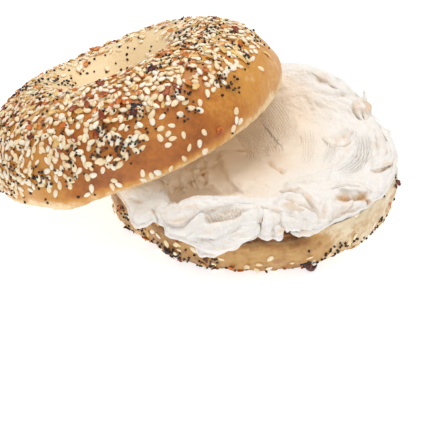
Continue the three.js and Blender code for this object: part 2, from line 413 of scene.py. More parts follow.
torn *= smooth(spots[:, 2] + 0.8 * bumps(spots, 3, 5.5), 13.6, 15.4)
out -= (TORN["depth"] + 0.5 * bumps(spots, 1.6, 1.4)) * torn * (1 - face_up)
spots = spots + normals_of(bottom) * (out - bottom_pits)[:, None]
base_grain = bumps(spots, 2.2, 9.1) * 0.12 * base_down
base_grain *= smooth(radius, 22, 25)
base_grain *= 1 - smooth(radius, 41, 44)
spots[:, 2] += np.clip(base_grain, 0, 1)
spots[:, 2] -= spots[:, 2].min()
move_points(bottom, spots)
print("bottom half spans", spots.min(0).round(2), spots.max(0).round(2))

# %% Model the top half
def top_section():
    t = TOP
    rim = t["radius"] - 1
    rise, middle = t["height"] - t["widest"], (t["crest"], t["widest"])
    outer = bulge(middle, (t["radius"] - t["crest"], rise), 0, 90, 60, t["squareness"])
    inner = bulge(middle, (t["crest"] - t["hole"], rise), 90, 180, 50, t["hole_squareness"])
    face = evenly([(t["hole"] + 0.6, 0), (rim, 0)], 0.68)
    dome = evenly(np.concatenate([[(rim, 0)], outer, inner, [(t["hole"] + 0.6, 0)]]), 0.62)
    return np.concatenate([face, dome])


def risen(points):
    """The top half rose higher in front, and its low front edge sags in a small lip."""
    points = hand_rolled(points, 0.005)
    angle = np.arctan2(points[:, 1], points[:, 0])
    azimuth = np.degrees(angle)
    higher = 1 - 0.105 * np.sin(angle) + 0.012 * np.cos(3 * angle + 2)
    points[:, 2] *= higher - 0.05 * hump(azimuth, 105, 32)
    low = np.exp(-(((points[:, 2] - 3) / 6) ** 2)) * smooth(radius_of(points), 40, 54)
    sag = hump(azimuth, 247, 10) * low
    points[:, :2] *= (1 + 0.035 * sag + 0.025 * hump(azimuth, 12, 22) * low)[:, None]
    points[:, 2] -= 1.8 * sag
    return points


top = turned("top_half_crust", top_section(), closed=True)
flat = points_of(top)
on_face = (flat[:, 2] < 0.01) * smooth(flat[:, 0] ** 2 + flat[:, 1] ** 2, 9**2, 10**2)
on_face *= 1 - smooth(radius_of(flat), 53.6, 54.6)
spots = risen(flat)
move_points(top, spots)
pits = crumb_pits(spots + 40) * on_face
near_cut = 1 - smooth(spots[:, 2], 4, 14)
out = crust_wander(spots + 70, near_cut * smooth(radius_of(spots), 30, 40))
add_blisters(spots, out, np.random.default_rng(12), 60, 1.0, 0.22)
out *= smooth(spots[:, 2], -0.5, 1.5)
torn_rim = (1 - smooth(spots[:, 2], 0.6, 2.6)) * (radius_of(spots) > 45)
out += torn_rim * (0.34 * bumps(spots, 3.2, 51.0) + 0.22 * bumps(spots, 1.4, 53.0))
spots = spots + normals_of(top) * (out * (1 - on_face) - pits)[:, None]
top_local = spots

azimuth = math.radians(LEAN["azimuth"])
lean = Matrix.Rotation(math.radians(LEAN["tilt"]), 3, Vector((-math.sin(azimuth), math.cos(azimuth), 0)))
spots = top_local @ np.array(lean).T + np.array(LEAN["centre"])
lift = -spots[:, 2].min()
spots[:, 2] += lift
move_points(top, spots)
cut_centre = np.array(LEAN["centre"]) + [0, 0, lift]
cut_normal = np.array(lean @ Vector((0, 0, 1)))
print("top half lifted %.2f mm, spans" % lift, spots.min(0).round(2), spots.max(0).round(2))

# %% [markdown]
# The cream cheese, banked up
#
# Cream cheese straight from the tub is stiff: a knife leaves it in a bowl with a bank round it.
# The bank is tallest at the back and runs in a long roll in front. Its upper surface is a height
# over each point, the same as the packed solid has, and the knife work is added to that. A
# formula is easier to keep equal to the solid than a sculpted shape would be.

# %% Height of the bank
def bank_height(azimuth):
    mound = np.exp(-((apart(azimuth, 64) / np.where(azimuth > 64, 46, 34)) ** 2))
    dip = 5.6 * hump(azimuth, 231, 13) + 1.3 * stretch(azimuth, 244, 278, 12) + 1.7 * hump(azimuth, 30, 20)
    return 4.6 + 12.2 * mound + 4.2 * stretch(azimuth, 205, 285, 24) - dip


def crest_radius(azimuth):
    return 45.5 + 2.2 * hump(azimuth, 52, 26) - 5 * stretch(azimuth, 262, 284, 22)


def hang(azimuth):
    return 2 * stretch(azimuth, 208, 262, 8) + 3.6 * hump(azimuth, 256, 6)


def edge_radius(azimuth):
    overhang = 2.3 * stretch(azimuth, 208, 262, 8) + 0.9 * hump(azimuth, 256, 6)
    return SPREAD["edge"] + overhang - 1.8 * hump(azimuth, 285, 6) + 0.3 * np.sin(np.radians(7 * azimuth))


def banked(x, y):
    radius = np.hypot(x, y)
    azimuth = azimuth_of(x, y)
    crest, bank = crest_radius(azimuth), BOTTOM["cut"] + bank_height(azimuth)
    bowl = BOTTOM["cut"] + SPREAD["floor"] - SPREAD["dip"] * np.exp(-((radius / BOTTOM["hole"]) ** 2))
    lip = BOTTOM["cut"] + 0.9 - 0.6 * hang(azimuth)
    outward = np.clip((radius - crest) / (edge_radius(azimuth) - crest), 0, 1)
    outside = lip + (bank - lip) * np.sqrt(1 - outward**2.4)
    inside = bowl + (bank - bowl) * smooth(radius, crest - 13 - 0.5 * bank_height(azimuth), crest)
    return np.where(radius < crest, inside, outside)


print("the bank is %.1f mm high at the back" % bank_height(np.array(64.0)))


# %% [markdown]
# Knife work
#
# Each mark of the knife follows a short curve: a roll that the blade pushed up, a crease where two
# folds meet, a step where one smear lies over another, fine scratches from its edge. The curves are
# given in pixels of the camera's picture and are traced on to the bank, so each lies on its surface.
# Noise alone would look like plaster, so the marks that can be told apart are laid one by one, and
# noise only fills in between them.

# %% Trace curves on the bank
def curve_through(stops, samples=56):
    """A smooth curve through a few points: each piece bends towards its neighbours."""
    stops = np.array([stops[0], *stops, stops[-1]], float)
    curve = []
    for before, start, end, after in zip(stops, stops[1:], stops[2:], stops[3:]):
        for t in np.linspace(0, 1, samples // (len(stops) - 3), endpoint=False):
            bend = 2 * before - 5 * start + 4 * end - after
            swing = 3 * start - before - 3 * end + after
            curve.append(0.5 * (2 * start + (end - before) * t + bend * t**2 + swing * t**3))
    return np.array(curve + [stops[-1]])


def tree_of(mesh):
    shape = bmesh.new()
    shape.from_mesh(mesh)
    tree = BVHTree.FromBMesh(shape)
    shape.free()
    return tree


def pixel_ray(across, down):
    return turn @ Vector((across - PICTURE / 2, PICTURE / 2 - down, -VIEW["focal"]))


def seen_on(surface, pixels):
    """Where the camera's rays through these pixels of its picture first meet a surface."""
    hits = [surface.ray_cast(eye - BASE, pixel_ray(*pixel))[0] for pixel in pixels]
    return [hit for hit in hits if hit]


print("a curve through two stops has", len(curve_through([(0, 0), (1, 0)])), "points")


# %% Marks of the knife
def sided(left, width_left, width_right):
    return np.exp(-((left / np.where(left > 0, width_left, width_right)) ** 2))


class Spread:
    """The cream cheese while it is worked: how far each point moves out or aside, and how brown it is
    painted, for bread and crumbs showing through and as shade in creases, pits and under folds.
    """

    def __init__(self, points, normals, surface):
        wander = 0.5 * np.stack([bumps(points, 5, shift) for shift in (1.1, 7.7, 4.4)], 1)
        wander += 0.16 * np.stack([bumps(points, 1.8, shift) for shift in (2.1, 8.7, 5.4)], 1)
        self.steady, self.points, self.normals, self.surface = points, points + wander, normals, surface
        self.out, self.brown, self.groove, self.grooved = np.zeros((4, len(points)))
        self.aside = np.zeros(points.shape)

    def near(self, pixels, reach, fade=0.16, points=None):
        """Points near a curve, their share of its length, how far left of it they are, and its heading."""
        points = self.points if points is None else points
        curve = np.array(seen_on(self.surface, curve_through(pixels)))
        inside = (points > curve.min(0) - reach) & (points < curve.max(0) + reach)
        close = np.flatnonzero(inside.all(1))
        away = points[close][:, None] - curve[None]
        nearest = np.argmin((away**2).sum(2), 1)
        heading = np.gradient(curve, axis=0)
        heading /= np.maximum(np.linalg.norm(heading, axis=1), 1e-6)[:, None]
        away, heading = away[np.arange(len(close)), nearest], heading[nearest]
        past = (away * heading).sum(1)
        away = away - heading * past[:, None]
        leftward = np.cross(self.normals[close], heading)
        left = np.linalg.norm(away, axis=1) * np.sign((away * leftward).sum(1))
        share = nearest / (len(curve) - 1)
        ends = smooth(share, 0, fade) * (1 - smooth(share, 1 - fade, 1)) * np.exp(-((past / 1.2) ** 2))
        return close, share, left, ends, leftward

    def roll(self, height, left, right, pixels, brown=0.0):
        """A roll, or with a negative height a crease, wider on one side than on the other."""
        close, _, off, ends, _ = self.near(pixels, 2.6 * max(left, right))
        inside = ends * sided(off, left, right)
        self.out[close] += height * inside
        self.brown[close] = np.maximum(self.brown[close], brown * inside)

    def step(self, height, fade, pixels, lean=0.0, edge=0.35, brown=0.0):
        """One smear over another: the left side stands up, may lean over the edge, and fades away."""
        close, _, off, ends, leftward = self.near(pixels, 2.2 * fade)
        beyond = np.clip(off, 0, None)
        self.out[close] += height * ends * smooth(off, -edge, edge) * np.exp(-((beyond / fade) ** 2))
        over = np.clip((off + edge) / 0.8, 0, None)
        self.aside[close] -= (lean * ends * over * np.exp(1 - over))[:, None] * leftward
        browned = brown * ends * np.exp(-(((off + edge) / 0.6) ** 2))
        self.brown[close] = np.maximum(self.brown[close], browned)

    def scratches(self, depth, pitch, start, end, pixels):
        """Fine grooves that run with a curve, between two distances from it."""
        close, _, off, ends, _ = self.near(pixels, max(abs(start), abs(end)) + 1.5, 0.25, self.steady)
        inside = smooth(off, start - 0.6, start + 0.6) * (1 - smooth(off, end - 0.6, end + 0.6))
        inside = inside * ends
        self.out[close] += 0.5 * depth * inside * np.cos(math.tau * off / pitch)
        stronger = inside * depth > self.grooved[close]
        self.groove[close] = np.where(stronger, off / pitch, self.groove[close])
        self.grooved[close] = np.maximum(self.grooved[close], inside * depth)

    def lump(self, height, across, down, long, wide, turned=0, brown=0.0):
        """An oval lump seen at one pixel, or with a negative height a pit."""
        angle = math.radians(turned)
        away = self.points - np.array(seen_on(self.surface, [(across, down)])[0])
        tall = away[:, 1] * math.cos(angle) - away[:, 0] * math.sin(angle)
        flat = away[:, 0] * math.cos(angle) + away[:, 1] * math.sin(angle)
        beyond = (flat / long) ** 2 + (tall / wide) ** 2 + (away[:, 2] / (2 * wide)) ** 2
        inside = np.exp(-(beyond**1.4))
        self.out += height * inside
        self.brown = np.maximum(self.brown, brown * inside)


print("marks of the knife:", [name for name in vars(Spread) if not name.startswith("_")])

# %% Strokes of the folds in front
# each is a mark, its sizes in millimetres, its pixels and then how it leans and how brown it is painted:
# tan for crumbs and bread showing through, and painted shade in creases, pits and under folds
UNDER_ROLL = [
    (164, 224), (168, 226), (172, 229), (178, 229.5), (183, 229), (187, 226), (191, 222), (195, 219),
    (200, 216), (205, 215), (209, 214.5), (214, 216),
]
RIBBON_TOP = [
    (198, 226), (205, 225), (213, 224.5), (222, 224), (232, 222), (240, 218), (248, 212.5), (256, 208),
]
FRONT = [
    # the upper roll, the hollow behind it and the deep crease under it
    ("roll", -1.6, 5, 1.2, [(168, 199), (180, 197), (193, 196), (204, 193), (220, 191), (243, 190)]),
    ("roll", 1.5, 2.2, 3.4, [(166, 213), (174, 213), (184, 213), (195, 210), (205, 207)]),
    ("roll", 0.9, 0.9, 1.2,
     [(196, 204), (204, 201), (213, 199), (226, 199), (240, 198), (252, 197), (262, 199)]),
    ("step", 1.3, 2.6, UNDER_ROLL[::-1][:-1] + [(166, 225)], 0.9, 0.3, 0.35),
    ("roll", -1.5, 0.45, 0.5, UNDER_ROLL, 0.42),
    ("roll", -0.9, 0.8, 0.9,
     [(214, 215), (222, 213), (228, 210.5), (236, 209.5), (244, 210.5), (252, 209)], 0.45),
    ("step", 0.7, 2, [(210, 210.5), (221, 209.5), (226, 206), (236, 205.5), (246, 205)], 0, 0.3),
    ("roll", -1.6, 1.6, 1.6, [(203, 220), (212, 219.5), (222, 218), (232, 215.5), (243, 212)]),
    ("roll", -0.7, 2.0, 2.0, [(202, 217.5), (212, 218), (222, 217), (232, 214), (242, 211)], 0.34),
    # the ribbon under it, and the crease that ends it
    ("step", 1.1, 3.2, RIBBON_TOP[::-1], 0.2, 0.35),
    ("roll", 0.9, 1.4, 2, [(190, 234), (204, 230.5), (220, 229), (235, 225.5), (246, 219), (255, 212)]),
    ("roll", -0.6, 0.5, 0.5, [(197, 238), (205, 239.5), (213, 239), (224, 236.5), (234, 231)], 0.12),
    ("roll", 0.5, 0.8, 0.8, [(193, 240), (207, 242.5), (222, 243), (231, 239), (241, 232), (251, 224)]),
    ("roll", -0.4, 0.5, 0.5, [(206, 247), (216, 249.5), (226, 246.5), (236, 239), (247, 231)]),
    ("step", 1.5, 3.5, [(257, 239), (258, 229), (260.5, 222), (262, 216), (261.5, 209)], 0.5, 0.4, 0.4),
    ("roll", -0.7, 0.5, 0.9, [(257, 239), (259, 229), (261.5, 222), (263, 216), (262.5, 211)], 0.3),
    # small lobes to the right of it
    ("lump", 0.9, 267, 230, 1.4, 3),
    ("roll", -0.9, 0.5, 0.5, [(271.5, 217), (272.5, 224), (272, 233)], 0.3),
    ("lump", 1.4, 278, 234, 1.5, 1.3, 30),
    ("roll", -0.7, 0.5, 0.5, [(272, 238), (275, 231), (281, 229.5), (285, 232)], 0.15),
    ("roll", 0.9, 0.8, 1.3,
     [(263, 207), (271, 210), (281, 213), (291, 213), (301, 214), (311, 218.5), (320, 225)]),
    ("lump", 0.8, 285, 222, 1.6, 1.6),
    ("lump", 0.9, 297, 227, 2, 1.4),
    ("lump", 0.9, 308, 229, 1.5, 1.5),
    ("roll", -0.6, 0.4, 0.5, [(291, 217), (291.5, 224), (290, 231)]),
    ("roll", -0.6, 0.4, 0.5, [(303, 219), (303.5, 226), (304, 234)]),
    ("roll", -0.5, 0.4, 0.5, [(281, 216), (280, 222), (281, 228)]),
    ("lump", -0.5, 283.5, 210, 0.5, 0.5, 0, 0.35),
    # the fold behind them
    ("step", 1.4, 3.6,
     [(319, 217), (313, 215), (308, 212), (300, 208), (293, 204.5), (287, 200.5), (282, 196.5)],
     0.5, 0.3, 0.55),
    ("roll", -0.9, 1.7, 0.4,
     [(283, 198), (288, 200.5), (294, 203), (301, 206), (309, 210), (317, 214)], 0.3),
    ("lump", -1.0, 311.5, 201, 1.5, 1.1, -20, 0.6),
    ("roll", -1.6, 1.4, 1.4, [(284, 198.5), (291, 201), (299, 204), (307, 208), (314, 213)], 0.45),
    ("lump", -0.5, 305, 193, 1.2, 0.8, 0, 0.35),
    ("roll", -0.5, 3.4, 0.9, [(284, 197), (292, 201), (301, 206), (310, 210), (320, 217)], 0.45),
    ("lump", 0.8, 297, 196, 3.4, 1.3, -12),
]
print(len(FRONT), "strokes in front")

# %% Strokes of the left end
LEFT_END = [
    ("roll", 1.2, 2.8, 2.8, [(135, 212), (143, 216), (150, 217)]),
    ("roll", -1.5, 0.6, 0.7, [(151.5, 208), (154, 214), (156.5, 219), (158, 225)], 0.25),
    ("roll", 0.8, 1.6, 1.6, [(160, 207), (161, 216), (165, 224)]),
    ("step", 1.7, 5, [(168, 211), (166, 206), (163, 198), (161, 190), (160, 180)], 0.3, 0.35, 0.2),
    ("roll", 0.7, 0.7, 0.6, [(167, 210), (165, 204), (162, 197), (160.5, 190), (159.5, 180)]),
    ("roll", -0.7, 0.8, 1, [(168, 209), (166, 215), (165, 223)]),
    ("roll", -0.5, 1, 1, [(137, 190), (140, 197), (142, 204)], 0.25),
    ("roll", -0.6, 0.8, 1.2, [(127, 198), (133, 200), (141, 201)], 0.35),
    ("lump", -0.5, 175, 199, 0.55, 0.7, 0, 0.95),
    ("lump", -0.4, 177, 193, 0.45, 0.6, 0, 0.9),
    ("lump", -0.4, 170, 203, 0.6, 0.5, 0, 0.6),
    ("lump", -0.4, 191, 197, 1.6, 0.7, 0, 0.3),
]
print(len(LEFT_END), "strokes at the left end")

# %% Strokes of the swirl at the right
SWIRL = [(365, 129), (369.5, 138), (371, 149), (368, 159), (361, 167), (351, 174), (341, 179)]
RIGHT_SWIRL = [
    ("roll", 1.2, 1.5, 2.6,
     [(283, 187), (300, 181), (318, 176.5), (332, 171.5), (345, 161.5), (354, 149), (357, 138)]),
    ("roll", 0.8, 1.4, 2.2, [(372, 125), (379, 135), (382, 148), (380, 160), (372, 170)]),
    ("scratches", 0.5, 1.2, -5.4, 0.6, SWIRL),
    ("scratches", 0.3, 1.0, -1.4, 2.6, [(332, 143), (329, 152), (323, 165)]),
    ("scratches", 0.24, 0.95, -1.6, 3.4, [(305, 128), (306.5, 142), (306, 156), (303, 166)]),
    ("lump", -2.7, 340, 135.5, 4.2, 2.4, 38, 0.1),
    ("roll", 1.5, 0.7, 1.2, [(327, 144), (333, 148), (339, 150), (347, 146), (353, 137), (354.5, 128)]),
    ("roll", -0.4, 0.6, 0.9, [(335, 144), (340, 145.5), (346, 142), (350.5, 135), (351, 129)], 0.3),
    ("roll", -0.9, 0.4, 0.6, [(320, 136), (326, 138.5), (331, 142), (336, 147)], 0.35),
    ("lump", -0.4, 327.5, 136.5, 0.5, 0.5, 0, 0.4),
    ("lump", -0.6, 356.5, 156, 2.3, 0.9, 40, 0.32),
    ("lump", -0.8, 375, 143, 1.4, 2.8, 0, 0.28),
    ("roll", -1.3, 0.6, 0.8, [(372.5, 172.5), (378, 171), (384, 167.5), (389, 164), (393, 160)], 0.5),
    ("roll", 0.6, 0.8, 0.8, [(372, 168), (379, 166), (386, 162), (391, 156)]),
    ("roll", 0.8, 0.8, 1.1,
     [(283, 187), (296, 183.5), (311, 181.5), (328, 182.5), (345, 183.5), (361, 183)]),
    ("roll", -0.6, 0.8, 0.6, [(316, 188), (328, 188.5), (338, 188), (346, 188)], 0.22),
    # where bread shows through, and the smooth facet below, painted beige as shade
    ("step", 0.9, 2.5,
     [(338, 190.5), (344, 190), (350, 190.5), (356, 190), (362, 191.5), (370, 191)], 0.5, 0.25),
    ("lump", -2.0, 344, 195, 3.1, 2.4, 5, 0.84),
    ("lump", -1.5, 354, 195, 2.4, 1.7, -10, 0.66),
    ("lump", -2.1, 363, 195, 3.1, 2.5, 0, 0.84),
    ("lump", -0.9, 347, 201, 6.5, 1.6, 0, 0.3),
    ("lump", -1.6, 351, 211, 6.6, 3.8, 22, 0.34),
    ("lump", -0.9, 336, 217, 4.2, 3.2, 12, 0.28),
    ("roll", 0.8, 0.6, 0.7,
     [(320.5, 213), (322, 204), (325, 198.5), (329, 197.5), (335, 200.5), (341, 204), (349, 203),
      (358, 201)]),
    ("roll", -0.9, 1.3, 1.3, [(325, 203), (326, 211), (327, 222)], 0.4),
    ("roll", 0.5, 0.8, 0.8, [(332, 203), (332, 212), (333, 223)]),
    ("lump", -1.6, 371.5, 205, 1.5, 1.5, 30, 0.9),
    ("roll", -1.7, 1.9, 1.9, [(314, 197), (318, 205), (320, 213), (322, 223)], 0.34),
    ("lump", 0.5, 347, 187, 0.8, 0.6),
    ("lump", 0.5, 356, 186, 0.8, 0.6),
    ("roll", -0.6, 0.7, 0.7, [(371, 178), (372.5, 188), (371, 199)], 0.15),
    ("roll", -0.5, 0.6, 0.6, [(378, 176), (380, 187), (378, 198)]),
]
print(len(RIGHT_SWIRL), "strokes for the swirl")

# %% Strokes of the torn peak at the back
TORN_PEAK = [
    ("lump", 2.6, 360, 109, 3, 3.4, 60),
    ("lump", 0.9, 354, 100, 1.5, 1.3),
    ("roll", -1.2, 0.5, 0.6, [(354, 101), (359, 108), (363, 115), (366, 122)], 0.4),
    ("roll", -0.8, 0.5, 0.5, [(351, 110), (355, 114), (359, 119)], 0.3),
    ("roll", -0.6, 0.4, 0.4, [(361, 103), (364, 110), (367, 114)], 0.35),
    ("lump", -0.8, 322, 79.5, 2.4, 2, -30, 0.3),
    ("lump", -0.8, 333, 85.5, 1.8, 1.6, -30, 0.36),
    ("lump", -0.4, 305, 98, 1.2, 0.8, 0, 0.14),
    ("lump", -0.5, 311, 109.5, 1, 0.7, 0, 0.24),
    ("lump", -0.5, 341, 96, 1.6, 1, 0, 0.12),
    ("roll", -0.5, 0.5, 0.7, [(314, 101), (317, 105), (322, 107), (327, 105)], 0.15),
    ("roll", 0.8, 1.2, 1.6, [(296, 68), (312, 72), (328, 79), (343, 90), (352, 97)]),
]
print(len(TORN_PEAK), "strokes for the torn peak")

# %% Strokes of the bowl
BOWL_STREAKS = [  # height in millimetres and pixels
    (0.9, [(167, 186), (169, 193), (171, 201)]), (-0.8, [(173, 180), (176, 190), (179, 200)]),
    (0.8, [(180, 176), (183, 187), (187, 199)]), (-0.9, [(186, 173), (190, 184), (194, 197)]),
    (0.7, [(193, 169), (196, 179), (200, 190)]), (-0.9, [(200, 164), (202, 173), (205, 182)]),
    (0.8, [(206, 161), (208, 169), (210, 178)]),
    (-0.8, [(184, 183), (192, 179.5), (200, 180), (207, 183)]),
]
BOWL_CRUMBS = [  # across, down, and the size in millimetres
    (174, 192.5, 0.5), (172.5, 197, 0.6), (173, 200, 0.4), (181, 188, 0.4), (203.5, 172, 0.9),
    (206, 167, 0.6), (168, 183, 0.5),
]
BOWL = [
    ("step", 1.3, 7,
     [(217, 153), (220.5, 163), (225, 173), (231, 182), (238, 190), (247, 196)], 0.2, 0.55, 0.2),
    ("roll", 0.8, 0.8, 1.4, [(205, 172), (210, 180), (218, 188), (228, 195)]),
    ("roll", -0.7, 0.6, 0.8, [(196, 178), (203, 186), (210, 194)], 0.25),
    ("roll", 0.6, 0.9, 0.7, [(180, 184), (184, 190), (186, 197)]),
    ("scratches", 0.35, 1.3, -4, 4, [(186, 176), (190, 186), (195, 197)]),
    # the dark streaks are painted tan as shade
    *[("roll", depth, 0.9, 0.55, path, 0.34 if depth < 0 else 0.0) for depth, path in BOWL_STREAKS],
    *[("lump", -0.5, across, down, size, size * 0.8, 0, 0.9) for across, down, size in BOWL_CRUMBS],
    ("lump", -0.5, 211, 166, 3.0, 2.2, 60, 0.3),
    ("lump", -0.4, 190, 188, 4.5, 1.3, -8, 0.28),
    ("lump", -0.4, 222, 150, 2.6, 1.2, 30, 0.3),
    ("scratches", 0.26, 0.95, -6.5, 6.5, [(246, 124), (254, 136), (262, 149), (267, 160)]),
    ("scratches", 0.24, 0.95, -5, 6, [(260, 103), (272, 117), (281, 132), (287, 146)]),
    ("lump", 1.1, 280, 149, 2.2, 2.6, 20),
    ("lump", 0.7, 288, 147, 1.6, 1.2, 0),
    ("step", 0.6, 2.2, [(292, 141), (282, 139.5), (273, 143), (268, 150), (270, 158)], 0.2, 0.25),
    ("lump", 0.7, 288, 157, 2.2, 1.6, 0, 0.14),
    ("roll", -1.2, 1.0, 0.8, [(266, 158.5), (270, 163), (274, 166.5), (279, 169), (284, 175)], 0.5),
    ("lump", -0.5, 294.5, 126.5, 0.9, 0.8, 0, 0.25),
    ("roll", -0.45, 0.5, 0.6, [(250, 177), (256, 180.5), (263, 184), (271, 188.5)], 0.16),
    ("roll", 0.35, 0.8, 0.8, [(247, 172), (256, 176), (266, 181)]),
    ("roll", 0.5, 0.5, 0.9, [(294, 116), (298, 122), (298, 130)]),
    ("lump", -0.5, 240, 150, 3, 1.2, 0, 0.6),
    ("lump", -0.4, 178, 187, 2.6, 1.6, 35, 0.42),
    ("lump", -0.4, 199, 174, 2.6, 1.4, 30, 0.4),
    ("lump", -0.4, 186, 193, 2.2, 1.2, -10, 0.36),
    ("lump", -0.5, 206, 187, 2.2, 1, 0, 0.2),
]
print(len(BOWL), "strokes for the bowl")

# %% [markdown]
# The worked spread
#
# The spread starts as a flat disc, turned like the halves, with finer steps where the marks are.
# Its points move out to the uneven edge, up to the bank and down to the hanging lip, and then the
# strokes push them along their normals. A height map could not hang over the edge like that.

# %% Model the cream cheese
EDGE = [  # azimuth in degrees, and how far out the cream cheese reaches there
    (0, 51.4), (60, 52.4), (120, 51.6), (205, 51.9), (214, 52.6), (218, 53.4), (226, 54.3), (231, 52.9),
    (236, 52.9), (238, 54), (247, 54.4), (250.2, 54.5), (251.4, 55.3), (259, 55), (263, 54.4),
    (267, 53.4), (271, 52.8), (272.2, 51.2), (273.6, 52.8), (280, 52.8), (281.6, 51.6), (284, 51.4),
    (288, 52), (289.4, 52.9), (294, 52.6), (299, 51.4), (303, 50.8), (306, 51.5), (309, 50.8),
    (313, 51.6), (317, 50.9), (321, 51.7), (325, 51), (330, 51.8), (340, 51.3), (360, 51.4),
]
HANG = [  # azimuth in degrees, and how far the cream cheese hangs over the edge there
    (0, 0), (212, 0), (218, 0.4), (219.5, 3.2), (221, 4.7), (224.5, 4.8), (228.5, 2.5), (231, 0.2),
    (234, 0), (237.5, 0.5), (238.5, 2.1), (240, 3), (243, 2.6), (246, 3.1), (249.8, 3.8), (250.8, 6.2),
    (251.9, 7.1), (254.4, 6.4), (256.6, 6.6), (258.6, 5.3), (261.4, 3.6), (265.2, 1.5), (268.7, 0.3),
    (272, 0), (280.5, 0), (282, -2.6), (284.5, -2.4), (287.5, -1.9), (289.2, 0.4), (294, 0.5), (299, 0.1),
    (305, -0.3), (312, 0), (360, 0),
]


def by_azimuth(table, azimuth):
    return np.interp(azimuth % 360, *np.array(table).T)


def spread_section():
    """From the bottom centre out to the rim, up it, and back to the top centre, on a flat blank."""
    edge = SPREAD["edge"]
    under = evenly([(0, 0), (edge, 0)], 3.4)
    rim = evenly([(edge, 0), (edge, 1)], 0.125)
    outer = evenly([(edge, 1), (38, 1)], 0.225)
    bowl = evenly([(38, 1), (18, 1)], 0.42)
    middle = evenly([(18, 1), (0, 1)], 0.9)
    return np.concatenate([under, rim, outer, bowl, middle, [(0, 1)]])


def pressed_under(x, y):
    """The most that the cream cheese can rise under the top half's cut face."""
    rise = (cut_normal[0] * (x - cut_centre[0]) + cut_normal[1] * (y - cut_centre[1])) / cut_normal[2]
    level = cut_centre[2] - rise
    away = np.sqrt((x - cut_centre[0]) ** 2 + (y - cut_centre[1]) ** 2 + rise**2)
    return level - SPREAD["gap"] + 40 * smooth(away, TOP["radius"] + 1, TOP["radius"] + 3)


def steeper(x, y):
    """How much lower the inside of the front bank is than a soft bowl."""
    radius, azimuth = np.hypot(x, y), azimuth_of(x, y)
    front, crest = stretch(azimuth % 360, 222, 284, 16), crest_radius(azimuth)
    return 3.2 * front * (smooth(radius, 22, 31) * (1 - smooth(radius, crest - 6, crest - 1.5)))


FINER = {"share": 0.52, "azimuth": 300}  # finer steps where the marks are, coarser under the top half
cream_mesh = turned("cream_cheese_spread", spread_section(), closed=False, sector_steps=37)
blank = points_of(cream_mesh)
even = np.arctan2(blank[:, 1], blank[:, 0])
angle = even - FINER["share"] * np.sin(even - math.radians(FINER["azimuth"]))
azimuth = np.degrees(angle)
flat_radius = radius_of(blank)
round_edge = np.stack([50 * np.cos(angle), 50 * np.sin(angle), 0 * angle], 1)
edge = by_azimuth(EDGE, azimuth) + 0.25 * bumps(round_edge, 2.4, 3.9)
out_to = flat_radius / SPREAD["edge"] * edge
part, crest = blank[:, 2], crest_radius(azimuth)
past_crest = np.clip((out_to - crest) / (edge - crest), 0, 1)
steep = (part > 0.99) & (past_crest > 0)
out_to[steep] = (crest + (edge - crest) * (1 - (1 - past_crest) ** 2))[steep]
x, y = out_to * np.cos(angle), out_to * np.sin(angle)
upper, rim = part > 0.99, (part > 0.01) & (part <= 0.99)

droop = by_azimuth(HANG, azimuth)
lip = BOTTOM["cut"] + 1.1 - 0.9 * droop
under = BOTTOM["cut"] + 0.05 - SPREAD["plug"] * (1 - smooth(out_to, 9.4, 10.4))
fading = np.where(droop < 0, smooth(flat_radius, 45.5, 50), smooth(flat_radius, 50, 51.4))
under -= (droop + 0.4 * smooth(droop, 0, 1)) * fading
z = under.copy()
outward = np.clip((out_to - crest) / (edge - crest), 0, 1)
soft_edge = lip + (BOTTOM["cut"] + bank_height(azimuth) - lip) * np.sqrt(np.clip(1 - outward**2.6, 0, 1))
z[upper] = np.where(out_to < crest, banked(x, y) - steeper(x, y), soft_edge)[upper]
z[rim] = (under + (lip - under) * part)[rim]
belly = (0.3 + 0.3 * (lip - under)) * np.sin(np.pi * part) * rim
x, y = x + belly * np.cos(angle), y + belly * np.sin(angle)
move_points(cream_mesh, hand_rolled(np.stack([x, y, z], 1), ROLLED_BY))

surface = tree_of(cream_mesh)
points, normals = points_of(cream_mesh), normals_of(cream_mesh)
worked = np.flatnonzero(part > 0.3)
cream = Spread(points[worked], normals[worked], surface)
strokes = LEFT_END + BOWL + FRONT + RIGHT_SWIRL + TORN_PEAK
for kind, *settings in strokes:
    getattr(cream, kind)(*settings)
print(len(strokes), "strokes move the cream cheese by up to %.1f mm" % np.abs(cream.out).max())
points[worked] += cream.normals * cream.out[:, None] + cream.aside
move_points(cream_mesh, points)

# %% Smears and lumps all over it
normals = normals_of(cream_mesh)
here = points[worked]
radius, swept = radius_of(here), np.arctan2(here[:, 1], here[:, 0])
wind = np.stack([radius, 14 * np.cos(swept), 14 * np.sin(swept)], 1)
smears = radius / 5.2 + swept * 1.6 + 0.75 * bumps(here, 9, 21.0) + 0.25 * bumps(here, 3.5, 23.0)
tooth = smears - np.floor(smears)
layer = tooth * (1 - smooth(tooth, 0.9, 1.0)) - 0.45
bank_share = smooth(radius, 20, 38)
front = stretch(np.degrees(swept), -160, -60, 12) * smooth(radius, 38, 43)
strength = smooth(bumps(here, 10, 27.0), -0.35, 0.4) * (1 - 0.75 * front)
strength *= 1 - 0.45 * hump(np.degrees(swept), 40, 35)
relief = 0.75 * layer * strength * bank_share
relief += 0.34 * bumps(here, 5, 31.0) * (1 - 0.4 * front)
warped = here + 0.9 * np.stack([bumps(here, 4, shift) for shift in (61.0, 63.0, 65.0)], 1)
for size, depth, shift in ((5.2, 0.75, 33.0), (2.6, 0.5, 35.0), (1.3, 0.22, 37.0)):
    rounded = np.sqrt(bumps(warped, size, shift) ** 2 + 0.0016) - 0.22
    relief += depth * rounded * (0.25 + 0.75 * bank_share)
relief += 0.14 * bumps(wind, 1.5, 37.0) * bank_share
points[worked] += normals[worked] * (relief * smooth(part[worked], 0.3, 1))[:, None]
points[:, 2] = np.minimum(points[:, 2], pressed_under(points[:, 0], points[:, 1]))
move_points(cream_mesh, points)
for name in ("brown", "groove", "grooved"):
    kept = np.zeros(len(blank))
    kept[worked] = getattr(cream, name)
    mark(cream_mesh, name, kept)
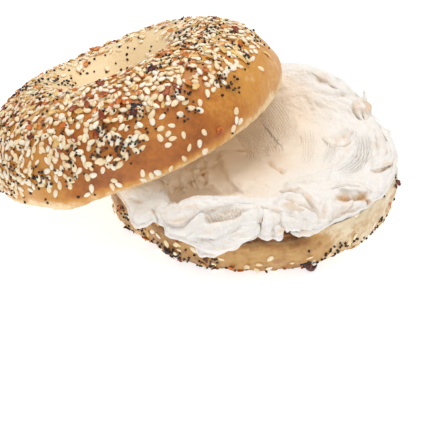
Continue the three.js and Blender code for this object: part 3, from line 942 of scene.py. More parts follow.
# painted shade: the cream cheese near the top half's cut face is marked for a warm beige, standing in for
# the shade and warm bounce under the top half
from_cut = points - cut_centre
from_cut -= np.outer(from_cut @ cut_normal, cut_normal)
thin = 1 - smooth(np.linalg.norm(from_cut, axis=1) + 4 * bumps(points, 9, 81.0), 44, 81)
mark(cream_mesh, "thin", thin * (1 - smooth(flat_radius, 38, 45)))
# painted shade: the finish paints these hollows beige
mark(cream_mesh, "hollow", hollows(cream_mesh, 26) * (flat_radius < 49) * upper)
print("cream cheese spans", points.min(0).round(2), points.max(0).round(2))

# %% [markdown]
# Folds that stand free
#
# Where the knife pushed the cream cheese up or folded it over, it overhangs, and a surface that is
# only pushed along its normals can't. Each fold is a rounded rope, laid along a curve on the bank and
# sunk in it by a part of its height, thick where the real one is and tapered at both ends. One
# closed rope for each fold is simpler to shape and to move than a cut and bridged surface.

# %% Lay a fold on the bank
def laid_on(surface, pixels, samples=56):
    """A curve on the surface with its normals. Past the outline it goes on at the nearest distance."""
    rays = [pixel_ray(*pixel).normalized() for pixel in curve_through(pixels, samples)]
    hits = [surface.ray_cast(eye - BASE, ray)[:2] for ray in rays]
    met = [index for index, hit in enumerate(hits) if hit[0] is not None]
    ahead = turn @ Vector((0, 0, -1))
    places, normals = [], []
    for index, ray in enumerate(rays):
        place, normal = hits[min(met, key=lambda other: abs(other - index))]
        reach = (place - (eye - BASE)).dot(ahead) / ray.dot(ahead)
        places.append(eye - BASE + ray * reach)
        normals.append(normal)
    return np.array(places), np.array(normals)


def laid_round(surface, stops, samples=56):
    """A curve on the outer wall, through azimuths in degrees and shares of the wall's height."""
    places, normals = [], []
    for azimuth, share in curve_through(stops, samples):
        height = BOTTOM["cut"] + 1.2 + share * (bank_height((azimuth + 180) % 360 - 180) - 2)
        inward = -Vector((math.cos(math.radians(azimuth)), math.sin(math.radians(azimuth)), 0))
        hit, normal, _, _ = surface.ray_cast(Vector((0, 0, height)) - inward * 90, inward)
        places.append(hit)
        normals.append(normal)
    return np.array(places), np.array(normals)


def calmed(values, rounds):
    for _ in range(rounds):
        values[1:-1] = (values[:-2] + 2 * values[1:-1] + values[2:]) / 4
    return values


def fold(name, path, wide, tall, fine, sunk=0.35, blunt=0.6, rough=1.0):
    """A rope along a path. Wide and tall are half sizes in millimetres, from one end to the other."""
    bm = bmesh.new()
    bmesh.ops.create_uvsphere(bm, u_segments=fine[0], v_segments=fine[1], radius=1)
    bmesh.ops.recalc_face_normals(bm, faces=bm.faces)
    mesh = bpy.data.meshes.new(name)
    bm.to_mesh(mesh)
    bm.free()
    ball = points_of(mesh)
    share = np.arccos(np.clip(ball[:, 2], -1, 1)) / math.pi
    angle = np.arctan2(ball[:, 1], ball[:, 0])
    curve, ups = calmed(path[0], 6), calmed(path[1], 12)
    heading = np.gradient(curve, axis=0)
    heading /= np.linalg.norm(heading, axis=1)[:, None]
    sides = np.cross(ups, heading)
    sides /= np.linalg.norm(sides, axis=1)[:, None]
    ups = np.cross(heading, sides)
    stops = np.linspace(0, 1, len(curve))

    def at(values):
        return np.stack([np.interp(share, stops, values[:, axis]) for axis in range(3)], 1)

    middle, side, up = at(curve), at(sides), at(ups)
    taper = np.sin(math.pi * share) ** blunt
    half_wide = np.interp(share, np.linspace(0, 1, len(wide)), wide) * taper
    half_tall = np.interp(share, np.linspace(0, 1, len(tall)), tall) * taper
    across, through = half_wide * np.cos(angle), half_tall * np.sin(angle)
    out = side * across[:, None] + up * through[:, None]
    spots = middle + out + up * (half_tall * (1 - 2 * sunk))[:, None]
    size = np.minimum(half_wide, half_tall)
    length = np.linalg.norm(np.diff(curve, axis=0), axis=1).sum()
    threads = np.stack([across, through, share * length / 3], 1) + middle / 4
    relief = 0.5 * bumps(spots, 3.6, 71.0) + 0.2 * (np.abs(bumps(spots, 1.1, 79.0)) - 0.2)
    for pitch, depth, shift in ((3.0, 1.1, 75.0), (1.5, 0.7, 77.0), (0.8, 0.3, 78.0)):
        relief += depth * (np.abs(bumps(threads, pitch, shift)) - 0.2)
    outward = out / np.maximum(np.linalg.norm(out, axis=1), 1e-6)[:, None]
    move_points(mesh, spots + outward * (rough * relief * np.minimum(size, 1))[:, None])
    return mesh


print("folds are laid on", len(points), "points of cream cheese")

# %% The folds, by their pixels in the camera's picture
FOLDS = {  # pixels, then half widths and half heights from one end to the other
    "upper_roll": (
        [(148, 205), (159, 209), (170, 213.5), (180, 215.5), (190, 211), (200, 207), (210, 204.5),
         (220, 203.5), (231, 202.5), (242, 202), (256, 203.5)],
        (1.4, 3.4, 4.8, 5.3, 4.6, 3.8, 3.5, 3.2, 2.9, 2.6, 1.4),
        (0.2, 1.1, 2.4, 2.9, 2.8, 2.5, 2.3, 2.1, 1.8, 1.4, 0.6),
    ),
    "ribbon": (
        [(186, 237), (200, 232), (212, 231.5), (224, 229.5), (234, 226), (244, 220.5), (257, 210.5)],
        (1.2, 2.4, 2.8, 2.6, 2.2, 2.1, 1.6), (1.1, 1.5, 1.7, 1.7, 1.7, 1.7, 1.4),
    ),
    "lower_lobe": (
        [(190, 243), (204, 245.5), (216, 246), (228, 242), (240, 236.5), (252, 229), (259, 221)],
        (1.5, 2.4, 2.8, 3.0, 3.1, 3.1, 2.4), (1.0, 1.4, 1.6, 1.7, 1.7, 1.7, 1.4),
    ),
    "left_fold": (
        [(160.5, 180), (162, 190), (164.5, 199), (168.5, 208)],
        (0.9, 1.2, 1.3, 1.2), (0.8, 1.1, 1.1, 0.9),
    ),
    "lobe_1": (
        [(264, 208), (267, 216), (268, 226), (265, 236)],
        (0.8, 1.5, 2.3, 1.5), (0.5, 0.8, 1.1, 0.8),
    ),
    "lobe_2": ([(271, 212), (276, 218), (274, 226)], (0.7, 1.6, 1.0), (0.5, 0.7, 0.6)),
    "small_ball": ([(276, 227), (278.5, 231), (280, 234)], (1.2, 1.8, 1.4), (1.0, 1.6, 1.3)),
    "lobe_3": (
        [(280, 215), (286, 220), (293, 226), (297, 231)],
        (1.0, 1.8, 2.9, 1.6), (0.5, 0.9, 1.5, 1.0),
    ),
    "lobe_4": (
        [(297, 214), (300, 220), (306, 226), (309, 231)],
        (1.0, 1.6, 2.0, 1.3), (0.5, 0.8, 0.9, 0.6),
    ),
    "lobe_5": ([(307, 216), (312, 221), (315, 227)], (0.9, 1.4, 1.0), (0.4, 0.7, 0.5)),
    "under_lobes": (
        [(290, 232), (299, 233), (309, 232.5), (318, 229.5)],
        (0.9, 1.3, 1.3, 0.7), (0.7, 1.0, 1.0, 0.6),
    ),
    "top_of_lobes": (
        [(259, 206), (268, 208.5), (279, 211), (290, 211.5), (301, 212.5), (311, 216), (321, 222)],
        (1.2, 1.6, 1.7, 1.8, 1.8, 1.7, 1.2), (0.9, 1.2, 1.2, 1.3, 1.3, 1.2, 0.9),
    ),
    "blade": (
        [(279, 191), (288, 192.5), (298, 194), (307, 198.5), (314, 205), (320, 213)],
        (0.8, 1.4, 1.6, 1.3, 0.9, 0.5), (0.9, 1.6, 1.7, 1.4, 1.0, 0.6),
    ),
    "over_the_pits": (
        [(330, 188.5), (338, 186.5), (347, 186.5), (357, 186.5), (366, 188), (373, 190)],
        (0.8, 1.2, 1.3, 1.3, 1.1, 0.7), (0.8, 1.2, 1.3, 1.2, 1.0, 0.6),
    ),
    "right_ridge": (
        [(370, 170.5), (378, 168.5), (385, 165), (391, 160), (395, 155)],
        (0.7, 1.0, 1.1, 1.0, 0.6), (0.6, 0.9, 1.0, 0.9, 0.6),
    ),
    "scoop_lip": (
        [(322, 138), (328, 143.5), (335, 147.5), (343, 148), (349.5, 143.5), (353.5, 136), (354, 128.5)],
        (0.5, 0.9, 1.3, 1.4, 1.2, 0.9, 0.5), (0.6, 1.1, 1.5, 1.5, 1.3, 1.0, 0.5),
    ),
    "swirl_rim": (
        [(371, 124), (378, 134), (382, 146), (381, 158), (375, 168)],
        (1.0, 1.7, 1.9, 1.7, 1.0), (0.6, 0.9, 1.0, 0.9, 0.6),
    ),
    "knot": (
        [(352, 100), (355, 106), (358, 113), (362, 120)],
        (1.0, 1.7, 1.8, 1.0), (0.9, 1.5, 1.5, 0.8),
    ),
    "knot_behind": ([(356, 98), (359.5, 104), (361, 111)], (1.0, 1.5, 1.0), (1.1, 1.6, 1.1)),
    "knot_dark": (
        [(362, 100), (364.3, 107), (365.4, 114), (365.8, 122)],
        (1.4, 2.0, 2.0, 0.9), (1.2, 1.8, 1.7, 0.8),
    ),
    "spike": (
        [(362, 114), (362.8, 107), (363.4, 101), (364, 95.5), (364.3, 89)],
        (1.6, 1.6, 1.3, 1.1, 0.8), (1.0, 1.2, 1.0, 0.9, 0.7),
    ),
    "spike_right": ([(362.5, 109), (366, 106), (369, 103.5)], (1.2, 1.1, 0.4), (1.1, 0.9, 0.4)),
    "back_rim": (
        [(300, 69), (312, 72.5), (326, 79), (339, 88), (350, 97)],
        (0.8, 1.3, 1.5, 1.4, 0.9), (0.6, 0.9, 1.0, 0.9, 0.6),
    ),
}
RIBS = {"count": 14, "across": 204, "pitch": 2.1, "down": 214.6, "rise": 0.2}
EDGES = {"count": 5, "across": 231.5, "pitch": 2.5, "down": 208.5}
rng = np.random.default_rng(21)
for n in range(RIBS["count"]):
    across = RIBS["across"] + RIBS["pitch"] * n + rng.uniform(-0.7, 0.7)
    down = RIBS["down"] - RIBS["rise"] * n + rng.uniform(-0.8, 0.8)
    length = rng.uniform(4, 8)
    stops = [(across + 0.5 * share * length, down + share * length) for share in (0, 0.5, 1)]
    wide, tall = (0.1, rng.uniform(0.2, 0.4), 0.14), (0.2, rng.uniform(0.35, 0.7), 0.3)
    FOLDS["torn_rib_%d" % n] = (stops, wide, tall)
for n in range(EDGES["count"]):
    across = EDGES["across"] + EDGES["pitch"] * n + rng.uniform(-0.6, 0.6)
    down = EDGES["down"] + rng.uniform(-0.8, 0.8)
    stops = [(across + 1.6, down), (across + 0.6, down + 3.5), (across - 1, down + 7)]
    FOLDS["torn_edge_%d" % n] = (stops, (0.12, 0.3, 0.16), (0.2, 0.6, 0.3))
ROUND_THE_BACK = {  # azimuths with shares of the wall's height, then half widths and half heights
    "side_high": (
        [(-8, 0.8), (3, 0.85), (14, 0.85), (24, 0.8)],
        (1.0, 2.0, 2.2, 1.0), (0.4, 0.8, 1.0, 0.6),
    ),
    "side_low": (
        [(-22, 0.3), (-10, 0.35), (4, 0.35), (16, 0.3)],
        (0.8, 1.3, 1.3, 0.8), (0.4, 0.7, 0.7, 0.4),
    ),
    "back_low": (
        [(14, 0.3), (28, 0.3), (42, 0.28), (55, 0.22)],
        (1.2, 2.2, 2.2, 1.2), (0.7, 1.3, 1.3, 0.7),
    ),
    "back_high": (
        [(24, 0.85), (38, 0.85), (52, 0.82), (64, 0.85)],
        (1.0, 2.2, 2.3, 1.2), (0.7, 1.4, 1.5, 0.8),
    ),
    "back_slope": (
        [(34, 0.55), (46, 0.6), (60, 0.6), (76, 0.55), (88, 0.5)],
        (1.0, 2.2, 2.6, 2.2, 1.0), (0.7, 1.4, 1.7, 1.4, 0.7),
    ),
    "back_foot": (
        [(58, 0.22), (72, 0.26), (88, 0.26), (102, 0.3)],
        (1.2, 2.2, 2.0, 1.0), (0.8, 1.4, 1.3, 0.7),
    ),
    "under_top": (
        [(92, 0.7), (104, 0.65), (118, 0.6), (130, 0.5)],
        (1.0, 2.0, 1.8, 1.0), (0.6, 1.1, 1.0, 0.6),
    ),
}
# painted shade: how brown the shaded sides of some folds are painted
SHADED_FOLDS = {"knot_dark": 0.3, "knot": 0.1, "spike_right": 0.16, "lobe_2": 0.1, "blade": 0.05}
folds = bmesh.new()
fold_shades = []
ropes = [(name, laid_on(surface, path), *sizes) for name, (path, *sizes) in FOLDS.items()]
ropes += [(name, laid_round(surface, path), *sizes) for name, (path, *sizes) in ROUND_THE_BACK.items()]
for name, path, wide, tall in ropes:
    fine = (8, 12) if max(wide) < 0.5 else (22, 42) if max(wide) < 2.2 else (42, 124)
    rope = fold(name, path, wide, tall, fine)
    folds.from_mesh(rope)
    fold_shades += [SHADED_FOLDS.get(name, 0)] * len(rope.vertices)
    bpy.data.meshes.remove(rope)
cream_folds = bpy.data.meshes.new("cream_cheese_folds")
folds.to_mesh(cream_folds)
# painted shade: the hollows of the folds are painted beige like the creases
mark(cream_folds, "hollow", hollows(cream_folds, 22))
mark(cream_folds, "brown", fold_shades)
print("folds", len(ropes), "with", sum(len(face.verts) - 2 for face in folds.faces), "triangles")
folds.free()

# %% [markdown]
# Seeds and flakes
#
# The crust was wetted and rolled in sesame, poppy seed, flaked onion and garlic before it was baked,
# so each grain lies flat on the crust and is a little sunk in it. One grain of each kind is modelled
# and copied, turned and sized by chance, more where the crust was wet and fewer on its bare flank.
# A particle system would scatter them too, but real meshes with a fixed seed are the same each run.

# %% Model one grain of each kind
def grain(name, u_segments, v_segments, size, taper):
    """A rounded grain that lies along X, narrower at one end."""
    bm = bmesh.new()
    bmesh.ops.create_uvsphere(bm, u_segments=u_segments, v_segments=v_segments, radius=0.5)
    bmesh.ops.rotate(bm, verts=bm.verts, cent=(0, 0, 0), matrix=Matrix.Rotation(math.radians(90), 3, "Y"))
    for vert in bm.verts:
        narrow = 1 - taper * 2 * vert.co.x
        vert.co = (vert.co.x * size[0], vert.co.y * size[1] * narrow, vert.co.z * size[2] * narrow**0.5)
    bmesh.ops.recalc_face_normals(bm, faces=bm.faces)
    mesh = bpy.data.meshes.new(name)
    bm.to_mesh(mesh)
    bm.free()
    shape = points_of(mesh)
    mark(mesh, "rim", np.hypot(shape[:, 0] / size[0], shape[:, 1] / size[1]) * 2)
    return mesh


def flake(name, size, curl, seed):
    """A curled chip of dried onion with an uneven outline."""
    bm = bmesh.new()
    bmesh.ops.create_grid(bm, x_segments=5, y_segments=3, size=0.5)
    for vert in bm.verts:
        away = noise.noise_vector(vert.co * 2.3 + Vector((seed, 2.5 * seed, 0)))
        x, y = vert.co.x + 0.2 * away.x, vert.co.y + 0.22 * away.y
        round_off = 1 - 0.9 * max(0, abs(x) + abs(y) - 0.62)
        vert.co = (size[0] * x * round_off, size[1] * y * round_off, 0.5 * away.z)
        vert.co.z += curl * (vert.co.x**2 / size[0] + 1.6 * vert.co.y**2 / size[1])
    bmesh.ops.solidify(bm, geom=bm.verts[:] + bm.edges[:] + bm.faces[:], thickness=size[2])
    bmesh.ops.recalc_face_normals(bm, faces=bm.faces)
    mesh = bpy.data.meshes.new(name)
    bm.to_mesh(mesh)
    bm.free()
    return mesh


def granule(name, size, seed):
    """A broken grain of dried garlic."""
    bm = bmesh.new()
    bmesh.ops.create_icosphere(bm, subdivisions=1, radius=0.5)
    for vert in bm.verts:
        away = noise.noise_vector(vert.co * 1.9 + Vector((seed, 0, 3.1 * seed)))
        vert.co = Vector(vert.co) + 0.42 * away
        vert.co = (vert.co.x * size[0], vert.co.y * size[1], vert.co.z * size[2])
    mesh = bpy.data.meshes.new(name)
    bm.to_mesh(mesh)
    bm.free()
    return mesh


noise.seed_set(3)
SESAME = [grain("sesame", 8, 6, (3.2, 2.15, 0.9), 0.22), grain("sesame_slim", 8, 6, (3.35, 1.9, 0.85), 0.3)]
POPPY = [grain("poppy", 6, 4, (1.15, 0.95, 0.9), 0.1)]
ONION_SIZES = [(3.4 + 0.5 * (n % 3), 1.9 + 0.35 * (n % 4), 0.28) for n in range(7)]
ONION = [flake("onion_%d" % n, size, 0.3 + 0.1 * n, n) for n, size in enumerate(ONION_SIZES)]
GARLIC = [granule("garlic_%d" % n, (2.4, 1.8, 1.1), n + 0.5) for n in range(4)]
print("grain faces", [len(mesh.polygons) for mesh in SESAME + POPPY + ONION[:1] + GARLIC[:1]])

# %% Where grains lie on a crust
def chosen(rng, faces, cover, count, spacing, taken=()):
    """Picks faces by area and cover, none closer than the spacing to one that is taken."""
    weight = faces[2] * cover
    tries = min(count * 6, int((weight > 0).sum()))
    picks = rng.choice(len(weight), size=tries, replace=False, p=weight / weight.sum())
    kept, places = [], list(taken)
    for pick in picks:
        here = faces[0][pick]
        if not places or np.min(((np.array(places) - here) ** 2).sum(1)) > spacing**2:
            kept.append(pick)
            places.append(here)
        if len(kept) == count:
            break
    return np.array(kept, int)


def strew(name, shapes, rng, faces, picks, heights, sizes, rise, tilt, tones):
    """One mesh with a grain on every picked face, each turned, leaned and sized by chance."""
    bm = bmesh.new()
    tone = []
    places = faces[0][picks] + faces[1][picks] * np.reshape(heights, (-1, 1))
    for place, normal, shade in zip(places, faces[1][picks], tones):
        shape = shapes[rng.integers(len(shapes))]
        face = Vector(normal)
        up = face + tilt * Vector(rng.normal(size=3))
        turn = up.to_track_quat("Z", "X").to_matrix() @ Matrix.Rotation(rng.uniform(0, math.tau), 3, "Z")
        copy = shape.copy()
        copy.transform(turn.to_4x4() @ Matrix.Scale(rng.uniform(*sizes), 4))
        copy.transform(Matrix.Translation(Vector(place) + face * rise))
        bm.from_mesh(copy)
        bpy.data.meshes.remove(copy)
        tone += [shade] * len(shape.vertices)
    for vert in bm.verts:
        vert.co.z = max(vert.co.z, 0)
    mesh = bpy.data.meshes.new(name)
    bm.to_mesh(mesh)
    bm.free()
    mark(mesh, "tone", tone)
    print(name, len(places), "grains,", sum(len(p.vertices) - 2 for p in mesh.polygons), "triangles")
    return mesh


# %% Grains that stand alone, by their pixels in the camera's picture
SESAME_SEEN = [
    (82.9, 159.4), (90.2, 166.7), (93.9, 174.1), (101.3, 162.1), (101.8, 170), (107.3, 165.4),
    (110.1, 157), (116.6, 160.3), (113.8, 167.2), (123.1, 151.5), (125.4, 157), (124.9, 144.1),
    (141.1, 148.7), (91.6, 188.9), (87, 195), (113.8, 180.1), (119.4, 183.8), (112, 187), (143.4, 172.3),
    (150.8, 174.6), (157.7, 172.3), (144.3, 179.2), (170.6, 168.6), (182.7, 158.4), (168.3, 144.6),
    (173, 139), (168.3, 133.5), (160, 138.1), (160.5, 127.9), (184.5, 134.9), (162.3, 117.8), (179, 114),
    (203.5, 132.5), (200, 143), (189.2, 147.8), (204.5, 151.3), (216.4, 148.8), (236.1, 111.3),
    (235.2, 120.2), (240, 121.6), (233.7, 129), (260.4, 68.8), (199, 110.3), (184.8, 103.4),
    (29.6, 175.1), (19.3, 166.2), (14.8, 159.8), (23.7, 151.4), (28.2, 153.4), (41.5, 145.5),
    (48.4, 148.9), (63.2, 145), (76.1, 149.9), (73.1, 157.3), (64.7, 163.8), (46.9, 171.7), (52.4, 167.2),
    (57.3, 171.7), (56.3, 179), (59.3, 184), (43.5, 180), (42.5, 185), (49.4, 189.4), (55.3, 192.4),
    (70.2, 179), (70.7, 184), (66.2, 175.6), (79, 171.6), (16.3, 184), (9.9, 180), (11.9, 187),
]
DARK_CLUSTERS = [
    (185, 38), (195, 33), (205, 30), (212, 34), (190, 46), (200, 42), (236, 52), (242, 56), (223, 81),
    (234, 87), (184, 93), (189, 115), (133, 112), (121, 142), (124, 152), (118, 158), (101, 131),
    (98, 149), (70, 168), (74, 154), (30, 86), (18, 94), (8, 104), (38, 84), (24, 92), (12, 168),
    (42, 178), (128, 146), (60, 82), (166, 62),
]
POPPY_SEEN = [
    (232.2, 134), (228.7, 86.1), (245, 69.3), (251.5, 58.4), (240.6, 36.2), (268.8, 48.5), (221.8, 95),
    (257.9, 38.7), (264.3, 45.6), (34.1, 168.2), (36.1, 178.6), (39, 189.4), (77.6, 196.8), (95.4, 194.9),
    (47.9, 202.3), (45.5, 199.3), (25.2, 201.8), (23.7, 195.9), (31.6, 192.9), (12.4, 190.4),
    (6.9, 192.9), (119.8, 47.7), (128, 47.7), (134.6, 48.5), (151.9, 46.1), (105.5, 55.6), (126.7, 54.6),
    (94.5, 59.7), (128, 59.9), (115.7, 63.5), (94.3, 71.6), (86.6, 73.4), (106.3, 72.1), (121.1, 70.6),
    (71.8, 78.8), (69.3, 81.8), (58.4, 85.2), (69.1, 71.1), (61.4, 68.8), (142.5, 140.4), (115.7, 148.7),
    (76.6, 178), (208.5, 98), (225.3, 75.2), (134, 104), (134, 109), (129.5, 119),
]

FLAKES_SEEN = [  # across, down, and the tone from burnt to pale
    (151, 69, -0.1), (154, 71, 0.0), (164, 79, 0.12), (107, 112, 0.05), (98, 104, 0.4), (92, 98, 0.45),
    (104, 98, 0.4), (88, 106, 0.35), (134, 112, -0.2), (131, 117, -0.2), (137, 108, -0.2),
    (133, 106, -0.1), (183, 22, 0.0), (82, 54, 0.3), (150, 30, 0.3), (128, 104, 0.4), (120, 104, 0.42),
    (113, 108, 0.45), (176, 88, 0.2), (140, 95, 0.5), (60, 150, 0.4), (52, 143, 0.35), (105, 149, 0.3),
    (75, 140, 0.35), (96, 112, 0.42), (86, 100, 0.3), (188, 58, 0.5), (205, 72, 0.4),
]


def faces_seen(tree, pixels):
    """The faces that the camera sees at these pixels of its picture."""
    seen = [tree.ray_cast(eye - BASE, pixel_ray(*pixel))[2] for pixel in pixels]
    return np.array([index for index in seen if index is not None], int)


def chips_seen(tree, chips):
    """The faces under the chips that the camera sees, and the chips' tones."""
    seen = [chip for chip in chips if len(faces_seen(tree, [chip[:2]]))]
    return faces_seen(tree, [chip[:2] for chip in seen]), [chip[2] for chip in seen]


def clustered(places, tree, pixels, reach):
    """1 at the middle of a cluster, and less with the distance from it."""
    centres = places[faces_seen(tree, pixels)]
    away = np.min([np.linalg.norm(places - centre, axis=1) for centre in centres], axis=0)
    return np.exp(-((away / reach) ** 2))


alone = {"sesame": len(SESAME_SEEN), "poppy": len(POPPY_SEEN), "flakes": len(FLAKES_SEEN)}
print("grains of the top half with places of their own:", alone)

# %% [markdown]
# Covering the crusts
#
# How thickly each kind lies is a number for every face: the crown is crowded, the flank is nearly
# bare, and the hole has hardly any. The grains that stand alone have their own places. Heaped ones
# lie a little above the first layer. A painted mask would do the same, but can't be read as words.

# %% Cover the top half
def around_ring(local):
    """Local azimuth 0 to 360, and how far round its section a point is: 0 outside, 90 crest, 180 hole."""
    height = (local[:, 2] - TOP["widest"]) / (TOP["height"] - TOP["widest"])
    outward = (radius_of(local) - TOP["crest"]) / (TOP["radius"] - TOP["crest"])
    return turn_of(local), np.degrees(np.arctan2(height, outward))


DENSE_FROM = [  # local azimuth in degrees, and how far round the section the crowded crown starts
    (0, 26), (20, 24), (60, 20), (120, 16), (170, 8), (200, -6), (216, -6), (230, 4), (248, 8), (260, 8),
    (269, 11), (277, 14), (287, 24), (297, 25), (309, 28), (325, 32), (342, 31), (360, 26),
]
TOP_GRAINS = {  # how many, and how far apart at least
    "sesame": (1000, 1.8), "piled_sesame": (480, 2.1), "poppy": (540, 0.85),
    "heaped_poppy": (430, 0.85), "onion": (250, 2.4), "garlic": (130, 2.6),
}
top_faces = faces_of(top)
face_local = (top_faces[0] - cut_centre) @ np.array(lean)
turn_at, over = around_ring(face_local)
crusted = smooth(face_local[:, 2], 1.5, 4)
clumps = bumps(face_local, 11, 31.0) * 0.5 + bumps(face_local, 4.5, 17.0) * 0.35
lowest = by_azimuth(DENSE_FROM, turn_at)
bare = np.exp(-((apart(turn_at, 241) / 5) ** 2) - ((over - 31) / 9) ** 2)
crown = smooth(over, lowest - 4, lowest + 12) * (1 - smooth(over, 92, 106)) * (1 - 0.95 * bare)
hidden = stretch(turn_at, 40, 175, 20) * smooth(over, -8, 10) * (1 - smooth(over, 90, 104))
far_side = 1 - 0.75 * stretch(turn_at, 50, 180, 15) * (0.45 + 0.55 * smooth(over, 45, 75))
sesame_cover = crusted * np.clip((crown + 0.12 * hidden) * (1 + 1.3 * clumps), 0, None) * far_side
peppered = 0.55 + 1.1 * stretch(turn_at, 325, 385, 12) * smooth(over, 38, 55)
peppered += 0.5 * stretch(turn_at, 185, 225, 15)
poppy_cover = crusted * (crown * peppered + 0.2 * hidden) * np.clip(1 - 1.6 * clumps, 0.08, None)
poppy_cover *= far_side
in_hole = smooth(over, 88, 104) * (1 - smooth(over, 130, 155))
poppy_cover += crusted * 0.1 * in_hole
sesame_cover += crusted * 0.03 * in_hole
onion_cover = far_side * crusted * crown * smooth(over, 34, 60) * np.clip(0.7 - 1.5 * clumps, 0.08, None)

rng = np.random.default_rng(5)
top_tree = tree_of(top)
single = faces_seen(top_tree, SESAME_SEEN)
first = chosen(rng, top_faces, sesame_cover, *TOP_GRAINS["sesame"], top_faces[0][single])
piled = crown * crusted * smooth(over, lowest + 4, lowest + 26) * far_side
second = chosen(rng, top_faces, piled * np.clip(1 + 1.5 * clumps, 0.05, None), *TOP_GRAINS["piled_sesame"])
picks = np.concatenate([single, first, second])
raised = np.concatenate([np.full(len(single) + len(first), 0.18), rng.uniform(0.55, 1.0, len(second))])
tones = rng.uniform(0, 1, len(picks))
top_sesame = strew("top_sesame", SESAME, rng, top_faces, picks, raised, (0.8, 1.06), 0, 0.17, tones)

single = faces_seen(top_tree, POPPY_SEEN)
loose = np.concatenate([single, chosen(rng, top_faces, poppy_cover, *TOP_GRAINS["poppy"])])
near_cluster = clustered(top_faces[0], top_tree, DARK_CLUSTERS, 2.6)
heaped = chosen(rng, top_faces, crusted * (near_cluster + 0.03 * poppy_cover), *TOP_GRAINS["heaped_poppy"])
picks = np.concatenate([loose, heaped])
raised = np.concatenate([np.full(len(loose), 0.2), rng.uniform(0.4, 1.1, len(heaped))])
tones = rng.uniform(0, 1, len(picks))
top_poppy = strew("top_poppy", POPPY, rng, top_faces, picks, raised, (0.75, 1.15), 0, 0.5, tones)

single, single_tones = chips_seen(top_tree, FLAKES_SEEN)
loose = chosen(rng, top_faces, onion_cover, *TOP_GRAINS["onion"])
picks = np.concatenate([single, loose])
raised = np.concatenate([np.full(len(single), 0.9), rng.uniform(0.3, 0.8, len(loose))])
tones = np.concatenate([single_tones, rng.uniform(0, 1, len(loose)) ** 0.48])
top_onion = strew("top_onion", ONION, rng, top_faces, picks, raised, (0.5, 1.0), 0, 0.2, tones)

picks = chosen(rng, top_faces, crown * crusted + 0.03, *TOP_GRAINS["garlic"])
tones = rng.uniform(0, 1, len(picks))
top_garlic = strew("top_garlic", GARLIC, rng, top_faces, picks, 0, (0.5, 1.1), 0.25, 0.6, tones)

# %% Curled strips of onion on the top half
STRIPS = {  # tone, pixels, then half widths and half heights
    "strip_long": (
        1.5, [(228, 49.5), (232, 52.5), (238, 57), (243, 60), (247, 64.3)],
        (0.6, 0.9, 0.8, 0.9, 0.5), (0.35, 0.5, 0.5, 0.5, 0.3),
    ),
    "strip_branch": (
        1.5, [(237, 57), (235.5, 50), (236, 44), (238, 38.7)],
        (0.6, 0.8, 0.7, 0.5), (0.35, 0.5, 0.4, 0.3),
    ),
    "strip_loop": (
        1.5, [(186, 60), (190, 57), (196, 57.5), (199, 61)],
        (0.4, 0.6, 0.6, 0.4), (0.3, 0.4, 0.4, 0.3),
    ),
    "strip_back": (1.5, [(262, 52), (267, 55), (270, 59)], (0.4, 0.7, 0.4), (0.3, 0.4, 0.3)),
    "amber_chip": (0.42, [(216.5, 130), (219.5, 130.5), (223, 131)], (1.2, 1.35, 1.2), (0.3, 0.35, 0.3)),
    "burnt_flake": (0.06, [(130.5, 119), (133.5, 113), (138, 107)], (0.7, 1.3, 0.8), (0.4, 0.6, 0.4)),
    "burnt_curl": (0.06, [(149, 69), (153, 67), (158, 69.5)], (0.6, 1.0, 0.6), (0.4, 0.6, 0.4)),
}


def strips_on(name, tree, table):
    bm = bmesh.new()
    tones = []
    for strip_name, (tone, pixels, wide, tall) in table.items():
        strip = fold(strip_name, laid_on(tree, pixels), wide, tall, (12, 30), -0.1, 0.35, 0.6)
        bm.from_mesh(strip)
        tones += [tone] * len(strip.vertices)
        bpy.data.meshes.remove(strip)
    for vert in bm.verts:
        vert.co.z = max(vert.co.z, 0)
    mesh = bpy.data.meshes.new(name)
    bm.to_mesh(mesh)
    mark(mesh, "tone", tones)
    print(name, len(table), "with", sum(len(face.verts) - 2 for face in bm.faces), "triangles")
    bm.free()
    return mesh


top_onion_strips = strips_on("top_onion_strips", top_tree, STRIPS)

# %% Cover the bottom half
BOTTOM_CLUSTERS = [
    (122, 210), (126, 214), (130, 227), (140, 229.5), (160, 245), (164, 250), (169, 251.5), (174, 254.5),
    (179, 256), (202, 262), (212, 260), (213, 265), (308, 264), (313, 265), (318, 263), (331, 251),
    (337, 252), (341, 244), (353, 240), (381, 218), (396, 179),
]
BOTTOM_POPPY_SEEN = [
    (124.5, 213), (117.9, 210.5), (130.7, 227.5), (139.4, 230), (144, 229.2), (159.3, 245.4),
    (163, 250.7), (169.3, 251.6), (173.8, 255.3), (211.6, 259), (201.2, 262.4), (213.2, 264.8),
    (308.4, 250.7), (329.5, 250.7), (324.8, 255.4), (334.8, 253.4), (339.9, 242.7), (352.9, 241),
    (381, 218.2), (395.1, 178),
]
BOTTOM_SESAME_SEEN = [
    (151.9, 231.3), (178.8, 244.5), (193.7, 249.5), (158, 235.4), (350, 246), (343.5, 253),
]
BOTTOM_FLAKES_SEEN = [  # across, down, and the tone from burnt to pale
    (121.6, 207.2, 0.4), (158, 223.8, 0.95), (348.9, 244.7, 0.6), (342.9, 252.7, 0.6), (306, 264, 0.0),
    (312, 265, 0.0), (317, 264, 0.0), (397.2, 183, 0.15), (395, 186.5, 0.05), (389, 203, 0.7),
    (149, 232, 0.9), (166, 250, 0.0), (206, 259, 0.1),
]
BOTTOM_STRIPS = {
    "burnt_clump": (
        0.0, [(304, 263), (308, 264.5), (313, 265), (317, 263.5)],
        (0.9, 1.5, 1.4, 0.8), (0.5, 0.9, 0.9, 0.5),
    ),
    "burnt_clump_left": (0.0, [(164, 249), (168, 251), (173, 253)], (0.6, 0.9, 0.5), (0.4, 0.6, 0.4)),
}
BOTTOM_GRAINS = {"sesame": (150, 2.0), "clustered_poppy": (95, 0.85), "poppy": (90, 0.9), "onion": (34, 3)}
bottom_faces = faces_of(bottom)
bottom_tree = tree_of(bottom)
bottom_onion_strips = strips_on("bottom_onion_strips", bottom_tree, BOTTOM_STRIPS)
